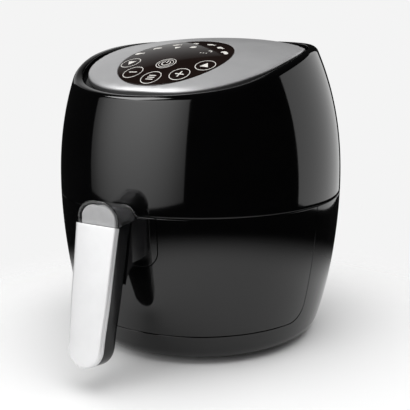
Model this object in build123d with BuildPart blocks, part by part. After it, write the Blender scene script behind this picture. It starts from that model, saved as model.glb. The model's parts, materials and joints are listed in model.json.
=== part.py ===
from build123d import *
import math
import os

os.makedirs("parts", exist_ok=True)

# ---------------------------------------------------------------------------
# Digital air fryer with a pull-out drawer.  Millimetres, +Z up, front is -Y.
# Origin: centre of the bounding box on the surface that the feet stand on.
# Most profiles are drawn about the upright axis of the round body, AXIS_Y
# behind the origin.
# ---------------------------------------------------------------------------
GRIP_REACH = 199.5            # body axis to the lowest point of the grip
BODY_R = 140.0                # largest body radius
AXIS_Y = (GRIP_REACH - BODY_R) / 2 - 0.35
WALL = 2.8                    # moulded shell wall
SEAM_Z = 143.0                # parting line between upper shell and drawer
SEAM_GAP = 0.8
DRAWER_LOW = 31.0             # bottom seam of the drawer front
SPLIT_Y = -27.0               # side seam of the drawer front, from the axis
CORNER_R = 16.0
BASE_Z = 5.0                  # underside of the body above the feet
# body radius against height: polynomial in (z - 144) / 100
PROFILE = (0.4818, -1.0471, -2.8217, -10.7648, 0.8299, 139.8089)
# domed control surface: an arc of radius DOME_RY turned about a far axis
DOME_YC, DOME_TOP, DOME_RX, DOME_RY = 46.9, 288.3, 583.0, 307.1
PLATE_T = 6.5                 # silver plate stands this far above the ledge
LENS_R, LENS_Y, LENS_T = 54.3, -46.0, 2.0
PAN_R, PAN_LOW, PAN_TOP, PAN_T = 108.0, 40.0, 131.0, 1.2
BASKET_R, BASKET_LOW, BASKET_TOP, BASKET_T = 100.0, 50.0, 137.0, 1.0
GRIP_TILT = math.atan(0.2045)  # lean of the grip from upright
GRIP_TOP_Y, GRIP_TOP_Z = -175.1, 141.8
GRIP_LEN = 121.4
GRIP_THICK = 25.1
TRIM_T = 5.0
PANEL_HW = 34.7               # half width of the panel behind the handle
PANEL_LOW = 97.0
GUARD_TILT = math.radians(15.8)
BRACKET_Y = -132.9            # inner face of the basket bracket's upright
CHAMBER_R = 106.0
ELEMENT_R = 3.4
CORD_Z = 44.0


def rad(z):
    """Outer radius of the body at height z."""
    u = (z - 144.0) / 100.0
    v = 0.0
    for c in PROFILE:
        v = v * u + c
    return v


def level(h):
    """Horizontal plane at height h, centred on the body axis."""
    return Plane((0, AXIS_Y, h))


def across(y):
    """Upright plane facing the front, local x = X and local y = Z."""
    return Plane(origin=(0, AXIS_Y + y, 0), x_dir=(1, 0, 0), z_dir=(0, -1, 0))


def side(x=0.0):
    """Upright plane facing +X, local x = Y from the axis, local y = Z."""
    return Plane(origin=(x, AXIS_Y, 0), x_dir=(0, 1, 0), z_dir=(1, 0, 0))


MID = across(0)
AXIS = Axis((0, AXIS_Y, 0), (0, 0, 1))


def outline_points(z0, z1, inset, n=9):
    return [(rad(z0 + (z1 - z0) * i / (n - 1)) - inset, z0 + (z1 - z0) * i / (n - 1)) for i in range(n)]


def body_band(z0, z1, inset_out=0.0, inset_in=None):
    """Turned band of the body between two heights; solid when inset_in is None."""
    with BuildPart() as band:
        with BuildSketch(MID):
            with BuildLine():
                o = outline_points(z0, z1, inset_out)
                Spline(*o)
                if inset_in is None:
                    Polyline(o[-1], (0, z1), (0, z0), o[0])
                else:
                    i = outline_points(z0, z1, inset_in)
                    Line(o[-1], i[-1])
                    Spline(*i)
                    Line(i[0], o[0])
            make_face()
        revolve(axis=AXIS)
    return band.part


def dome(drop, y0=-175.0, y1=160.0):
    """Everything below the domed control surface, lowered by drop."""
    za = DOME_TOP - DOME_RX
    base = DOME_RX - DOME_RY - drop

    def p(y):
        return (y, za - (base + math.sqrt(DOME_RY ** 2 - (y - DOME_YC) ** 2)))

    with BuildPart() as d:
        with BuildSketch(side()):
            with BuildLine():
                ThreePointArc(p(y0), p(0.5 * (y0 + y1)), p(y1))
                Polyline(p(y1), (y1, za - 100), (y0, za - 100), p(y0))
            make_face()
        revolve(axis=Axis((0, AXIS_Y, za), (0, 1, 0)))
    return d.part


def dome_z(y, drop=0.0):
    return DOME_TOP - DOME_RY + math.sqrt(DOME_RY ** 2 - (y - DOME_YC) ** 2) - drop


def side_block(points, half):
    """Block across the body: closed outline in the side view, half width in X."""
    with BuildPart() as b:
        with BuildSketch(side()):
            with BuildLine():
                Polyline(*points, close=True)
            make_face()
        extrude(amount=half, both=True)
    return b.part


# ------------------------------------------------------------- upper shell
RIM = [(-170, 236.0), (-127, 243.6), (-112, 246.6), (-93, 250.8), (-62, 260.6), (-28, 270.8), (8, 277.6),
       (37, 280.9), (80, 283.4), (165, 284.0)]


def rim_block(drop):
    with BuildPart() as b:
        with BuildSketch(side()):
            with BuildLine():
                Spline(*[(y, z - drop) for y, z in RIM])
                Polyline((165, 284.0 - drop), (165, 100), (-170, 100), (-170, 236.0 - drop))
            make_face()
        extrude(amount=170, both=True)
    return b.part


GRILLE_HW, GRILLE_LOW, GRILLE_TOP = 40.0, 160.0, 206.0

with BuildPart() as shell_hollow:
    # the wall is thin below the thick rim
    add(body_band(SEAM_Z - 1, 287.0, WALL, 30.0))
    add(rim_block(15.0), mode=Mode.INTERSECT)

with BuildPart() as upper_shell:
    add(body_band(SEAM_Z + SEAM_GAP / 2, 288.0, 0.0, 8.0))
    add(rim_block(0.0), mode=Mode.INTERSECT)
    rim_edges = upper_shell.edges().filter_by(lambda e: e.center().Z > 200).sort_by(SortBy.LENGTH)
    fillet(rim_edges[-1], 4.5)
    add(shell_hollow.part, mode=Mode.SUBTRACT)
    # rear opening for the air outlet
    with BuildSketch(across(0)):
        with Locations((0, (GRILLE_LOW + GRILLE_TOP) / 2)):
            RectangleRounded(2 * GRILLE_HW + 0.6, GRILLE_TOP - GRILLE_LOW + 0.6, 6.3)
    extrude(amount=-160, mode=Mode.SUBTRACT)
upper_shell.part.label = "upper_shell"
export_step(upper_shell.part, "parts/upper_shell.step")

# ------------------------------------------------- recessed black top cover
with BuildPart() as top_cover:
    add(body_band(200.0, 286.0, 8.15))
    add(dome(PLATE_T + 0.05), mode=Mode.INTERSECT)
    add(dome(PLATE_T + 2.8), mode=Mode.SUBTRACT)
    with BuildSketch(level(200)):
        with Locations((0, LENS_Y)):
            Circle(47.5)
    extrude(amount=100, mode=Mode.SUBTRACT)
    # screw holes that hold the silver plate
    with BuildSketch(level(200)):
        with Locations((-72, -30), (72, -30), (0, 42)):
            Circle(2.2)
    extrude(amount=100, mode=Mode.SUBTRACT)
top_cover.part.label = "top_cover"
export_step(top_cover.part, "parts/top_cover.step")

# ------------------------------------------------------- silver top plate
PLATE_HALF = [(0, -106.0), (36, -102.8), (57, -94.6), (75, -81.0), (88, -64.0), (97, -42.0), (100.5, -15.0),
              (99.5, 15.0), (93.5, 40.0)]
PLATE_BACK = 70.0


def plate_face(inset=0.0):
    """Eye-shaped plan of the plate, pointed at both sides."""
    k = inset / 104.0
    pts = [(x * (1 - k), LENS_Y * 0.3 + (y - LENS_Y * 0.3) * (1 - k)) for x, y in PLATE_HALF]
    back = PLATE_BACK - inset
    with BuildSketch(level(180)) as s:
        with BuildLine():
            Spline(*pts, tangents=[(1, 0), (-0.35, 1)])
            Spline(*[(-x, y) for x, y in pts], tangents=[(-1, 0), (0.35, 1)])
            ThreePointArc(pts[-1], (0, back), (-pts[-1][0], pts[-1][1]))
        make_face()
    return s.sketch


PLATE_SCREWS = ((-72, -30), (72, -30), (0, 42))
with BuildPart() as plate_hollow:
    extrude(plate_face(4.0), amount=120)
    with BuildSketch(level(170)):
        with Locations((0, LENS_Y)):
            Circle(LENS_R + 4.5)
        with Locations(*PLATE_SCREWS):
            Circle(5.0)
    extrude(amount=140, mode=Mode.SUBTRACT)
    add(dome(2.4), mode=Mode.INTERSECT)
with BuildPart() as lens_pocket:
    with BuildSketch(level(180)):
        with Locations((0, LENS_Y)):
            Circle(LENS_R)
    extrude(amount=120)
    add(dome(LENS_T), mode=Mode.SUBTRACT)


def dome_at(x, y, drop=0.0):
    rho = DOME_RX - DOME_RY + math.sqrt(DOME_RY ** 2 - (y - DOME_YC) ** 2) - drop
    return DOME_TOP - DOME_RX + math.sqrt(rho ** 2 - x * x)


with BuildPart() as screw_cores:
    for x, y in PLATE_SCREWS:
        with BuildSketch(level(180)):
            with Locations((x, y)):
                Circle(1.5)
        extrude(amount=dome_at(x, y) - 2.8 - 180)
with BuildPart() as top_trim_plate:
    extrude(plate_face(), amount=120)
    add(dome(0.0), mode=Mode.INTERSECT)
    add(dome(PLATE_T), mode=Mode.SUBTRACT)
    top_edges = top_trim_plate.faces().sort_by(Axis.Z)[-1].edges()
    chamfer(top_edges, 1.0)
    add(plate_hollow.part, mode=Mode.SUBTRACT)
    with BuildSketch(level(170)):
        with Locations((0, LENS_Y)):
            Circle(LENS_R - 4.0)
    extrude(amount=140, mode=Mode.SUBTRACT)
    add(lens_pocket.part, mode=Mode.SUBTRACT)
    add(screw_cores.part, mode=Mode.SUBTRACT)
top_trim_plate.part.label = "top_trim_plate"
export_step(top_trim_plate.part, "parts/top_trim_plate.step")

# ----------------------------------------------------------- touch lens
with BuildPart() as touch_lens:
    with BuildSketch(level(180)):
        with Locations((0, LENS_Y)):
            Circle(LENS_R - 0.15)
    extrude(amount=120)
    add(dome(0.0), mode=Mode.INTERSECT)
    add(dome(LENS_T), mode=Mode.SUBTRACT)
touch_lens.part.label = "touch_lens"
export_step(touch_lens.part, "parts/touch_lens.step")

# ------------------------------------- display and touch board under the lens
BOARD_TILT = math.degrees(math.atan2(DOME_YC - LENS_Y, math.sqrt(DOME_RY ** 2 - (LENS_Y - DOME_YC) ** 2)))
board_n = (0, -math.sin(math.radians(BOARD_TILT)), math.cos(math.radians(BOARD_TILT)))
BOARD_PLANE = Plane(origin=(0, AXIS_Y + LENS_Y - 7.6 * board_n[1], dome_z(LENS_Y) - 7.6 * board_n[2]),
                    x_dir=(1, 0, 0), z_dir=board_n)
with BuildPart() as display_board:
    with BuildSketch(BOARD_PLANE):
        Circle(44.0)
    extrude(amount=-1.6)
    with BuildSketch(BOARD_PLANE):
        with Locations((0, 12)):
            Rectangle(46, 18)
    extrude(amount=2.4)
    with BuildSketch(BOARD_PLANE.offset(-1.6)):
        with Locations((-18, -8)):
            Rectangle(12, 12)
        with Locations((16, -10)):
            Rectangle(18, 6)
    extrude(amount=-2.0)
display_board.part.label = "display_board"
export_step(display_board.part, "parts/display_board.step")

with BuildPart() as plate_screws:
    for x, y in PLATE_SCREWS:
        zt = dome_at(x, y, PLATE_T)
        with BuildSketch(level(zt - 4.6)):
            with Locations((x, y)):
                Circle(3.4)
        extrude(amount=-2.4)
        with BuildSketch(level(zt - 4.6)):
            with Locations((x, y)):
                Circle(1.45)
        extrude(amount=6.8)
plate_screws.part.label = "plate_screws"
export_step(plate_screws.part, "parts/plate_screws.step")

# ---------------------------------------------------------- lower housing
LOWER_TOP = SEAM_Z - SEAM_GAP / 2
BAY_HW = 112.0                # inside half width of the drawer bay
BAY_FLOOR = 36.4
YS, ZS = SPLIT_Y + 0.4, DRAWER_LOW - 0.4
with BuildPart() as web_region:
    with BuildSketch(side()):
        with BuildLine():
            Polyline((-220, ZS - 2.4), (-22.0, ZS - 2.4), (-22.0, LOWER_TOP), (YS, LOWER_TOP), (YS, ZS + CORNER_R))
            RadiusArc((YS, ZS + CORNER_R), (YS - CORNER_R, ZS), CORNER_R)
            Polyline((YS - CORNER_R, ZS), (-220, ZS), (-220, ZS - 2.4))
        make_face()
    extrude(amount=170, both=True)
with BuildPart() as web:
    # bay shelf and front frame, moulded with the shell
    add(body_band(16.0, LOWER_TOP, WALL - 0.4))
    add(web_region.part, mode=Mode.INTERSECT)
    with BuildSketch(across(0)):
        with Locations((0, 35.0 + 60)):
            Rectangle(2 * (BAY_HW + 1.6), 120.0)
    extrude(amount=60, mode=Mode.SUBTRACT)
with BuildPart() as lower_housing:
    with BuildSketch(MID):
        with BuildLine():
            o = outline_points(15.0, LOWER_TOP, 0.0)
            i = outline_points(15.0, LOWER_TOP, WALL)
            Spline(*o)
            Line(o[-1], i[-1])
            Spline(*i)
            Polyline(i[0], (i[0][0] - 1.5, 10.0), (109.0, 8.2), (109.0, BASE_Z), (111.5, BASE_Z))
            ThreePointArc((111.5, BASE_Z), (118.4, 8.3), o[0])
        make_face()
    revolve(axis=AXIS)
    # drawer opening: everything in front of the side seam
    with BuildSketch(side()):
        with BuildLine():
            Polyline((-220, ZS), (YS - CORNER_R, ZS))
            RadiusArc((YS - CORNER_R, ZS), (YS, ZS + CORNER_R), -CORNER_R)
            Polyline((YS, ZS + CORNER_R), (YS, 160), (-220, 160), (-220, ZS))
        make_face()
    extrude(amount=170, both=True, mode=Mode.SUBTRACT)
    add(web.part)
    # cord inlet hole at the rear
    with BuildSketch(across(0)):
        with Locations((0, CORD_Z)):
            Circle(7.0)
    extrude(amount=-160, mode=Mode.SUBTRACT)
lower_housing.part.label = "lower_housing"
export_step(lower_housing.part, "parts/lower_housing.step")

# -------------------------------------------------------------- base plate
with BuildPart() as base_plate:
    with BuildSketch(level(BASE_Z)):
        Circle(108.8)
    extrude(amount=3.0)
    # raised posts that carry the screws and the bay liner
    with BuildSketch(level(BASE_Z + 3.0)):
        with PolarLocations(92, 4, 45):
            Circle(6.0)
    extrude(amount=20.0)
    # cooling slots
    with BuildSketch(level(BASE_Z)):
        with PolarLocations(46, 12):
            SlotOverall(26, 4)
    extrude(amount=3.0, mode=Mode.SUBTRACT)
    with BuildSketch(level(BASE_Z)):
        with PolarLocations(92, 4, 45):
            Circle(1.6)
    extrude(amount=20.0, mode=Mode.SUBTRACT)
base_plate.part.label = "base_plate"
export_step(base_plate.part, "parts/base_plate.step")

with BuildPart() as base_screws:
    with BuildSketch(level(BASE_Z)):
        with PolarLocations(92, 4, 45):
            Circle(3.6)
    extrude(amount=-2.2)
    with BuildSketch(level(BASE_Z)):
        with PolarLocations(92, 4, 45):
            Circle(1.55)
    extrude(amount=16.0)
base_screws.part.label = "base_screws"
export_step(base_screws.part, "parts/base_screws.step")

with BuildPart() as rubber_feet:
    with BuildSketch(level(0)):
        with PolarLocations(84, 4, 25):
            Circle(9.0)
        with PolarLocations(84, 4, 25):
            Circle(4.0, mode=Mode.SUBTRACT)
    extrude(amount=BASE_Z)
    fillet(rubber_feet.edges().filter_by(GeomType.CIRCLE).group_by(Axis.Z)[0], 1.0)
rubber_feet.part.label = "rubber_feet"
export_step(rubber_feet.part, "parts/rubber_feet.step")

# -------------------------------------------------------------- bay liner
with BuildPart() as bay_liner:
    with BuildSketch(level(BAY_FLOOR - 1.2)):
        Circle(BAY_HW + 1.2)
        with Locations((0, (SPLIT_Y + 5.0) / 2 - 0.01)):
            Rectangle(2 * (BAY_HW + 1.2), -(SPLIT_Y + 5.0))
        with Locations((0, SPLIT_Y + 5.2 - 100)):
            Rectangle(400, 200, mode=Mode.SUBTRACT)
    extrude(amount=LOWER_TOP - BAY_FLOOR + 1.2 - 0.2)
    with BuildSketch(level(BAY_FLOOR)):
        Circle(BAY_HW)
        with Locations((0, -60)):
            Rectangle(2 * BAY_HW, 120)
    extrude(amount=120, mode=Mode.SUBTRACT)
    # window for the drawer switch
    with BuildSketch(across(0)):
        with Locations((0, 118)):
            Rectangle(11, 7)
    extrude(amount=-160, mode=Mode.SUBTRACT)
bay_liner.part.label = "bay_liner"
export_step(bay_liner.part, "parts/bay_liner.step")

with BuildPart() as drawer_rails:
    with BuildSketch(level(BAY_FLOOR)):
        with Locations((-62, 30), (62, 30)):
            Rectangle(8, 104)
    extrude(amount=PAN_LOW - 0.3 - BAY_FLOOR)
    fillet(drawer_rails.edges().filter_by(Axis.Z), 3.0)
drawer_rails.part.label = "drawer_rails"
export_step(drawer_rails.part, "parts/drawer_rails.step")

with BuildPart() as drawer_switch:
    with BuildSketch(level(112)):
        with Locations((0, BAY_HW + 1.3 + 4.5)):
            Rectangle(20, 9)
    extrude(amount=12)
    with BuildSketch(level(116)):
        with Locations((0, BAY_HW)):
            Rectangle(6, 4)
    extrude(amount=4)
drawer_switch.part.label = "drawer_switch"
export_step(drawer_switch.part, "parts/drawer_switch.step")

# ------------------------------------------------------------- cord gland
gland_wall = body_band(20.0, 70.0, -0.02)
with BuildPart() as cord_gland:
    with BuildSketch(across(126.0)):
        with Locations((0, CORD_Z)):
            Circle(9.5)
    extrude(amount=-8.0)
    fillet(cord_gland.edges().filter_by(GeomType.CIRCLE).sort_by(Axis.Y)[-1], 1.5)
    add(gland_wall, mode=Mode.SUBTRACT)
    with BuildSketch(across(120.0)):
        with Locations((0, CORD_Z)):
            Circle(6.9)
    extrude(amount=-13.0)
    with BuildSketch(across(110.0)):
        with Locations((0, CORD_Z)):
            Circle(3.6)
    extrude(amount=-40.0, mode=Mode.SUBTRACT)
cord_gland.part.label = "cord_gland"
export_step(cord_gland.part, "parts/cord_gland.step")

# --------------------------------------------------------------- mid deck
with BuildPart() as mid_deck:
    add(body_band(SEAM_Z + 0.6, SEAM_Z + 3.0, WALL + 0.15))
    with BuildSketch(level(SEAM_Z)):
        Circle(CHAMBER_R - 1.0)
    extrude(amount=6, mode=Mode.SUBTRACT)
    with BuildSketch(level(SEAM_Z)):
        with PolarLocations(122, 8, 22.5):
            Circle(2.0)
    extrude(amount=6, mode=Mode.SUBTRACT)
mid_deck.part.label = "mid_deck"
export_step(mid_deck.part, "parts/mid_deck.step")

# -------------------------------------------- hot chamber above the basket
DECK_TOP = SEAM_Z + 3.0
ROOF_Z = 190.0
with BuildPart() as heat_reflector:
    with BuildSketch(MID):
        with BuildLine():
            Polyline((CHAMBER_R + 8.0, DECK_TOP), (CHAMBER_R + 8.0, DECK_TOP + 1.0), (CHAMBER_R + 1.0, DECK_TOP + 1.0),
                     (CHAMBER_R + 1.0, ROOF_Z - 12.0), (CHAMBER_R - 11.0, ROOF_Z), (9.0, ROOF_Z), (9.0, ROOF_Z - 1.0),
                     (CHAMBER_R - 11.4, ROOF_Z - 1.0), (CHAMBER_R, ROOF_Z - 12.4), (CHAMBER_R, DECK_TOP), close=True)
        make_face()
    revolve(axis=AXIS)
    # outlet to the rear duct
    with BuildSketch(across(0)):
        with Locations((0, 166)):
            Rectangle(50, 18)
    extrude(amount=-160, mode=Mode.SUBTRACT)
    # element ends pass through the roof
    with BuildSketch(level(ROOF_Z - 3)):
        with Locations((-12, 62), (12, 62)):
            Circle(5.0)
        with Locations((70, 30)):
            Circle(2.6)
    extrude(amount=6, mode=Mode.SUBTRACT)
heat_reflector.part.label = "heat_reflector"
export_step(heat_reflector.part, "parts/heat_reflector.step")

with BuildPart() as element_guard:
    with BuildSketch(level(149.0)):
        for r in (22, 42, 62, 82):
            Circle(r + 1.2)
            Circle(r - 1.2, mode=Mode.SUBTRACT)
        Circle(CHAMBER_R - 0.3)
        Circle(CHAMBER_R - 3.2, mode=Mode.SUBTRACT)
    extrude(amount=2.0)
    with BuildSketch(level(149.0)):
        for ang in range(0, 360, 45):
            with PolarLocations(62, 1, ang):
                Rectangle(84, 2.2)
    extrude(amount=2.0)
element_guard.part.label = "element_guard"
export_step(element_guard.part, "parts/element_guard.step")

ELEMENT_Z = 159.0
with BuildPart() as heating_element:
    # two nearly closed turns, joined on one side, ends rising at the rear
    for r in (62.0, 84.0):
        a0 = math.degrees(math.asin(12.0 / r))
        start = 90 + a0
        pl = Plane(origin=(r * math.cos(math.radians(start)), AXIS_Y + r * math.sin(math.radians(start)), ELEMENT_Z),
                   x_dir=(math.cos(math.radians(start)), math.sin(math.radians(start)), 0),
                   z_dir=(-math.sin(math.radians(start)), math.cos(math.radians(start)), 0))
        with BuildSketch(pl):
            Circle(ELEMENT_R)
        revolve(axis=AXIS, revolution_arc=360 - 2 * a0)
    # end bridge on +X side joins the turns
    yb62 = math.sqrt(62.0 ** 2 - 12.0 ** 2)
    yb84 = math.sqrt(84.0 ** 2 - 12.0 ** 2)
    with BuildSketch(across(yb62 - 1.0)):
        with Locations((12.0, ELEMENT_Z)):
            Circle(ELEMENT_R)
    extrude(amount=-(yb84 - yb62 + 2.0))
    # left end of the inner turn rises through the roof
    with BuildSketch(level(ELEMENT_Z - 2.0)):
        with Locations((-12, 62)):
            Circle(ELEMENT_R)
    extrude(amount=ROOF_Z + 10 - ELEMENT_Z + 2.0)
    with BuildSketch(across(yb84 + 2.0)):
        with Locations((-12.0, ELEMENT_Z)):
            Circle(ELEMENT_R)
    extrude(amount=(yb84 - 71.0))
heating_element.part.label = "heating_element"
export_step(heating_element.part, "parts/heating_element.step")

with BuildPart() as element_terminals:
    with BuildSketch(level(ROOF_Z + 2.0)):
        with Locations((-12, 62), (12, 62)):
            Circle(5.6)
            Circle(ELEMENT_R + 0.05, mode=Mode.SUBTRACT)
    extrude(amount=7.5)
    with BuildSketch(level(ROOF_Z)):
        with Locations((0, 62)):
            RectangleRounded(42, 16, 4)
        with Locations((-12, 62), (12, 62)):
            Circle(ELEMENT_R + 0.05, mode=Mode.SUBTRACT)
    extrude(amount=2.0)
element_terminals.part.label = "element_terminals"
export_step(element_terminals.part, "parts/element_terminals.step")

# ------------------------------------------------------- air outlet at the rear
DUCT_Y0 = CHAMBER_R + 1.0
with BuildPart() as exhaust_duct:
    with BuildSketch(across(DUCT_Y0 - 1.0)):
        with Locations((0, 166)):
            Rectangle(56, 24)
    extrude(amount=-25.5)
    with BuildSketch(across(DUCT_Y0 - 10.0)):
        with Locations((0, 166)):
            Rectangle(53, 21)
    extrude(amount=-60.0, mode=Mode.SUBTRACT)
    with BuildSketch(level(140)):
        Circle(CHAMBER_R + 1.05)
    extrude(amount=60, mode=Mode.SUBTRACT)
exhaust_duct.part.label = "exhaust_duct"
export_step(exhaust_duct.part, "parts/exhaust_duct.step")

grille_blank = body_band(150.0, 216.0, -0.9, 4.2)
with BuildPart() as exhaust_grille:
    with BuildSketch(across(100)):
        with Locations((0, (GRILLE_LOW + GRILLE_TOP) / 2)):
            RectangleRounded(2 * GRILLE_HW, GRILLE_TOP - GRILLE_LOW, 6.0)
    extrude(amount=-60)
    add(grille_blank, mode=Mode.INTERSECT)
    with BuildSketch(across(100)):
        with GridLocations(0, 6.6, 1, 6):
            with Locations((0, (GRILLE_LOW + GRILLE_TOP) / 2)):
                SlotOverall(66, 3.6)
    extrude(amount=-60, mode=Mode.SUBTRACT)
exhaust_grille.part.label = "exhaust_grille"
export_step(exhaust_grille.part, "parts/exhaust_grille.step")

# --------------------------------------------------- motor, shaft and two fans
SHAFT_R = 3.0
MOTOR_Z0, MOTOR_Z1, MOTOR_R = 213.0, 243.0, 29.0
with BuildPart() as motor_bracket:
    with BuildSketch(level(MOTOR_Z0 - 2.0)):
        Circle(38)
        with PolarLocations(42, 3, 30):
            Rectangle(52, 16)
        Circle(9.0, mode=Mode.SUBTRACT)
    extrude(amount=2.0)
    with BuildSketch(level(ROOF_Z)):
        with PolarLocations(64, 3, 30):
            Rectangle(8, 16)
    extrude(amount=MOTOR_Z0 - 2.0 - ROOF_Z)
    with BuildSketch(level(MOTOR_Z0 - 2.0)):
        with PolarLocations(22, 3, 90):
            Circle(1.7)
    extrude(amount=2.0, mode=Mode.SUBTRACT)
motor_bracket.part.label = "motor_bracket"
export_step(motor_bracket.part, "parts/motor_bracket.step")

with BuildPart() as fan_motor:
    with BuildSketch(level(MOTOR_Z0)):
        Circle(MOTOR_R)
    extrude(amount=MOTOR_Z1 - MOTOR_Z0)
    fillet(fan_motor.edges().filter_by(GeomType.CIRCLE), 2.5)
    with BuildSketch(level(MOTOR_Z0 - 1.9)):
        Circle(8.0)
    extrude(amount=3.0)
    with BuildSketch(level(MOTOR_Z0)):
        with PolarLocations(22, 3, 90):
            Circle(1.5)
    extrude(amount=6.0, mode=Mode.SUBTRACT)
    with BuildSketch(level(MOTOR_Z0 - 3)):
        Circle(SHAFT_R + 0.05)
    extrude(amount=24.0, mode=Mode.SUBTRACT)
fan_motor.part.label = "fan_motor"
export_step(fan_motor.part, "parts/fan_motor.step")

with BuildPart() as motor_screws:
    with BuildSketch(level(MOTOR_Z0 - 2.0)):
        with PolarLocations(22, 3, 90):
            Circle(3.0)
    extrude(amount=-2.0)
    with BuildSketch(level(MOTOR_Z0 - 2.0)):
        with PolarLocations(22, 3, 90):
            Circle(1.45)
    extrude(amount=7.0)
motor_screws.part.label = "motor_screws"
export_step(motor_screws.part, "parts/motor_screws.step")

FAN_LOW = 167.0
with BuildPart() as fan_shaft:
    with BuildSketch(level(FAN_LOW - 6.0)):
        Circle(SHAFT_R)
    extrude(amount=MOTOR_Z0 + 20.0 - FAN_LOW + 6.0)
fan_shaft.part.label = "fan_shaft"
export_step(fan_shaft.part, "parts/fan_shaft.step")

with BuildPart() as fan_nut:
    with BuildSketch(level(FAN_LOW - 4.5)):
        RegularPolygon(5.5, 6)
        Circle(SHAFT_R, mode=Mode.SUBTRACT)
    extrude(amount=4.5)
fan_nut.part.label = "fan_nut"
export_step(fan_nut.part, "parts/fan_nut.step")

with BuildPart() as convection_fan:
    # pressed disc with ten upright vanes
    with BuildSketch(level(FAN_LOW + 12.0)):
        Circle(55)
        Circle(SHAFT_R, mode=Mode.SUBTRACT)
    extrude(amount=1.2)
    with BuildSketch(level(FAN_LOW)):
        Circle(8)
        Circle(SHAFT_R, mode=Mode.SUBTRACT)
    extrude(amount=12.2)
    with BuildSketch(level(FAN_LOW)):
        with PolarLocations(30, 10):
            Rectangle(46, 1.2, rotation=14)
    extrude(amount=12.2)
convection_fan.part.label = "convection_fan"
export_step(convection_fan.part, "parts/convection_fan.step")

with BuildPart() as cooling_fan:
    with BuildSketch(level(194.0)):
        Circle(10)
        Circle(SHAFT_R, mode=Mode.SUBTRACT)
    extrude(amount=12.0)
    with BuildSketch(level(194.0)):
        Circle(46)
        Circle(SHAFT_R, mode=Mode.SUBTRACT)
    extrude(amount=1.2)
    with BuildSketch(level(194.5)):
        with PolarLocations(27, 9):
            Rectangle(35, 1.4, rotation=-12)
    extrude(amount=11.0)
cooling_fan.part.label = "cooling_fan"
export_step(cooling_fan.part, "parts/cooling_fan.step")

with BuildPart() as temperature_sensor:
    with BuildSketch(level(ROOF_Z)):
        with Locations((70, 30)):
            Circle(6.0)
    extrude(amount=2.0)
    with BuildSketch(level(ROOF_Z - 12.0)):
        with Locations((70, 30)):
            Circle(2.2)
    extrude(amount=18.0)
temperature_sensor.part.label = "temperature_sensor"
export_step(temperature_sensor.part, "parts/temperature_sensor.step")

with BuildPart() as thermal_cutout:
    with BuildSketch(level(ROOF_Z)):
        with Locations((-60, -36)):
            Circle(8.0)
    extrude(amount=7.0)
    with BuildSketch(level(ROOF_Z + 7.0)):
        with Locations((-64, -36), (-56, -36)):
            Rectangle(1.0, 6.0)
    extrude(amount=8.0)
thermal_cutout.part.label = "thermal_cutout"
export_step(thermal_cutout.part, "parts/thermal_cutout.step")

# --------------------------------------------------------------- power board
with BuildPart() as board_frame:
    with BuildSketch(level(ROOF_Z)):
        with Locations((-44, 88), (44, 88)):
            Rectangle(7, 8)
    extrude(amount=62.0)
    with BuildSketch(level(ROOF_Z + 6)):
        with Locations((0, 90)):
            Rectangle(90, 4)
    extrude(amount=6.0)
board_frame.part.label = "board_frame"
export_step(board_frame.part, "parts/board_frame.step")

with BuildPart() as power_board:
    with BuildSketch(level(ROOF_Z + 14)):
        with Locations((0, 83.2)):
            Rectangle(96, 1.6)
    extrude(amount=48.0)
    with BuildSketch(level(ROOF_Z + 18)):
        with Locations((-30, 76.4)):
            Rectangle(20, 12)
        with Locations((26, 74.4)):
            Rectangle(24, 16)
    extrude(amount=18.0)
    with BuildSketch(across(82.4)):
        with Locations((-30, ROOF_Z + 50), (-12, ROOF_Z + 50)):
            Circle(6.0)
    extrude(amount=14.0)
power_board.part.label = "power_board"
export_step(power_board.part, "parts/power_board.step")

# =================================================================== drawer
FRONT_TOP = SEAM_Z - SEAM_GAP / 2
FRONT_LOW = DRAWER_LOW + 0.2


def front_region(y_back, z_low, z_top, corner):
    """Side-view outline of the drawer front, open to the front."""
    with BuildPart() as b:
        with BuildSketch(side()):
            with BuildLine():
                Polyline((-220, z_low), (y_back - corner, z_low))
                RadiusArc((y_back - corner, z_low), (y_back, z_low + corner), -corner)
                Polyline((y_back, z_low + corner), (y_back, z_top), (-220, z_top), (-220, z_low))
            make_face()
        extrude(amount=170, both=True)
    return b.part


def panel_cut(hw, low, corner):
    """U-shaped block through the front wall, open at the top."""
    with BuildPart() as b:
        with BuildSketch(across(-90)):
            with BuildLine():
                Polyline((-hw, 160), (-hw, low + corner))
                RadiusArc((-hw, low + corner), (-hw + corner, low), -corner)
                Line((-hw + corner, low), (hw - corner, low))
                RadiusArc((hw - corner, low), (hw, low + corner), -corner)
                Polyline((hw, low + corner), (hw, 160), (-hw, 160))
            make_face()
        extrude(amount=90)
    return b.part


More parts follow.
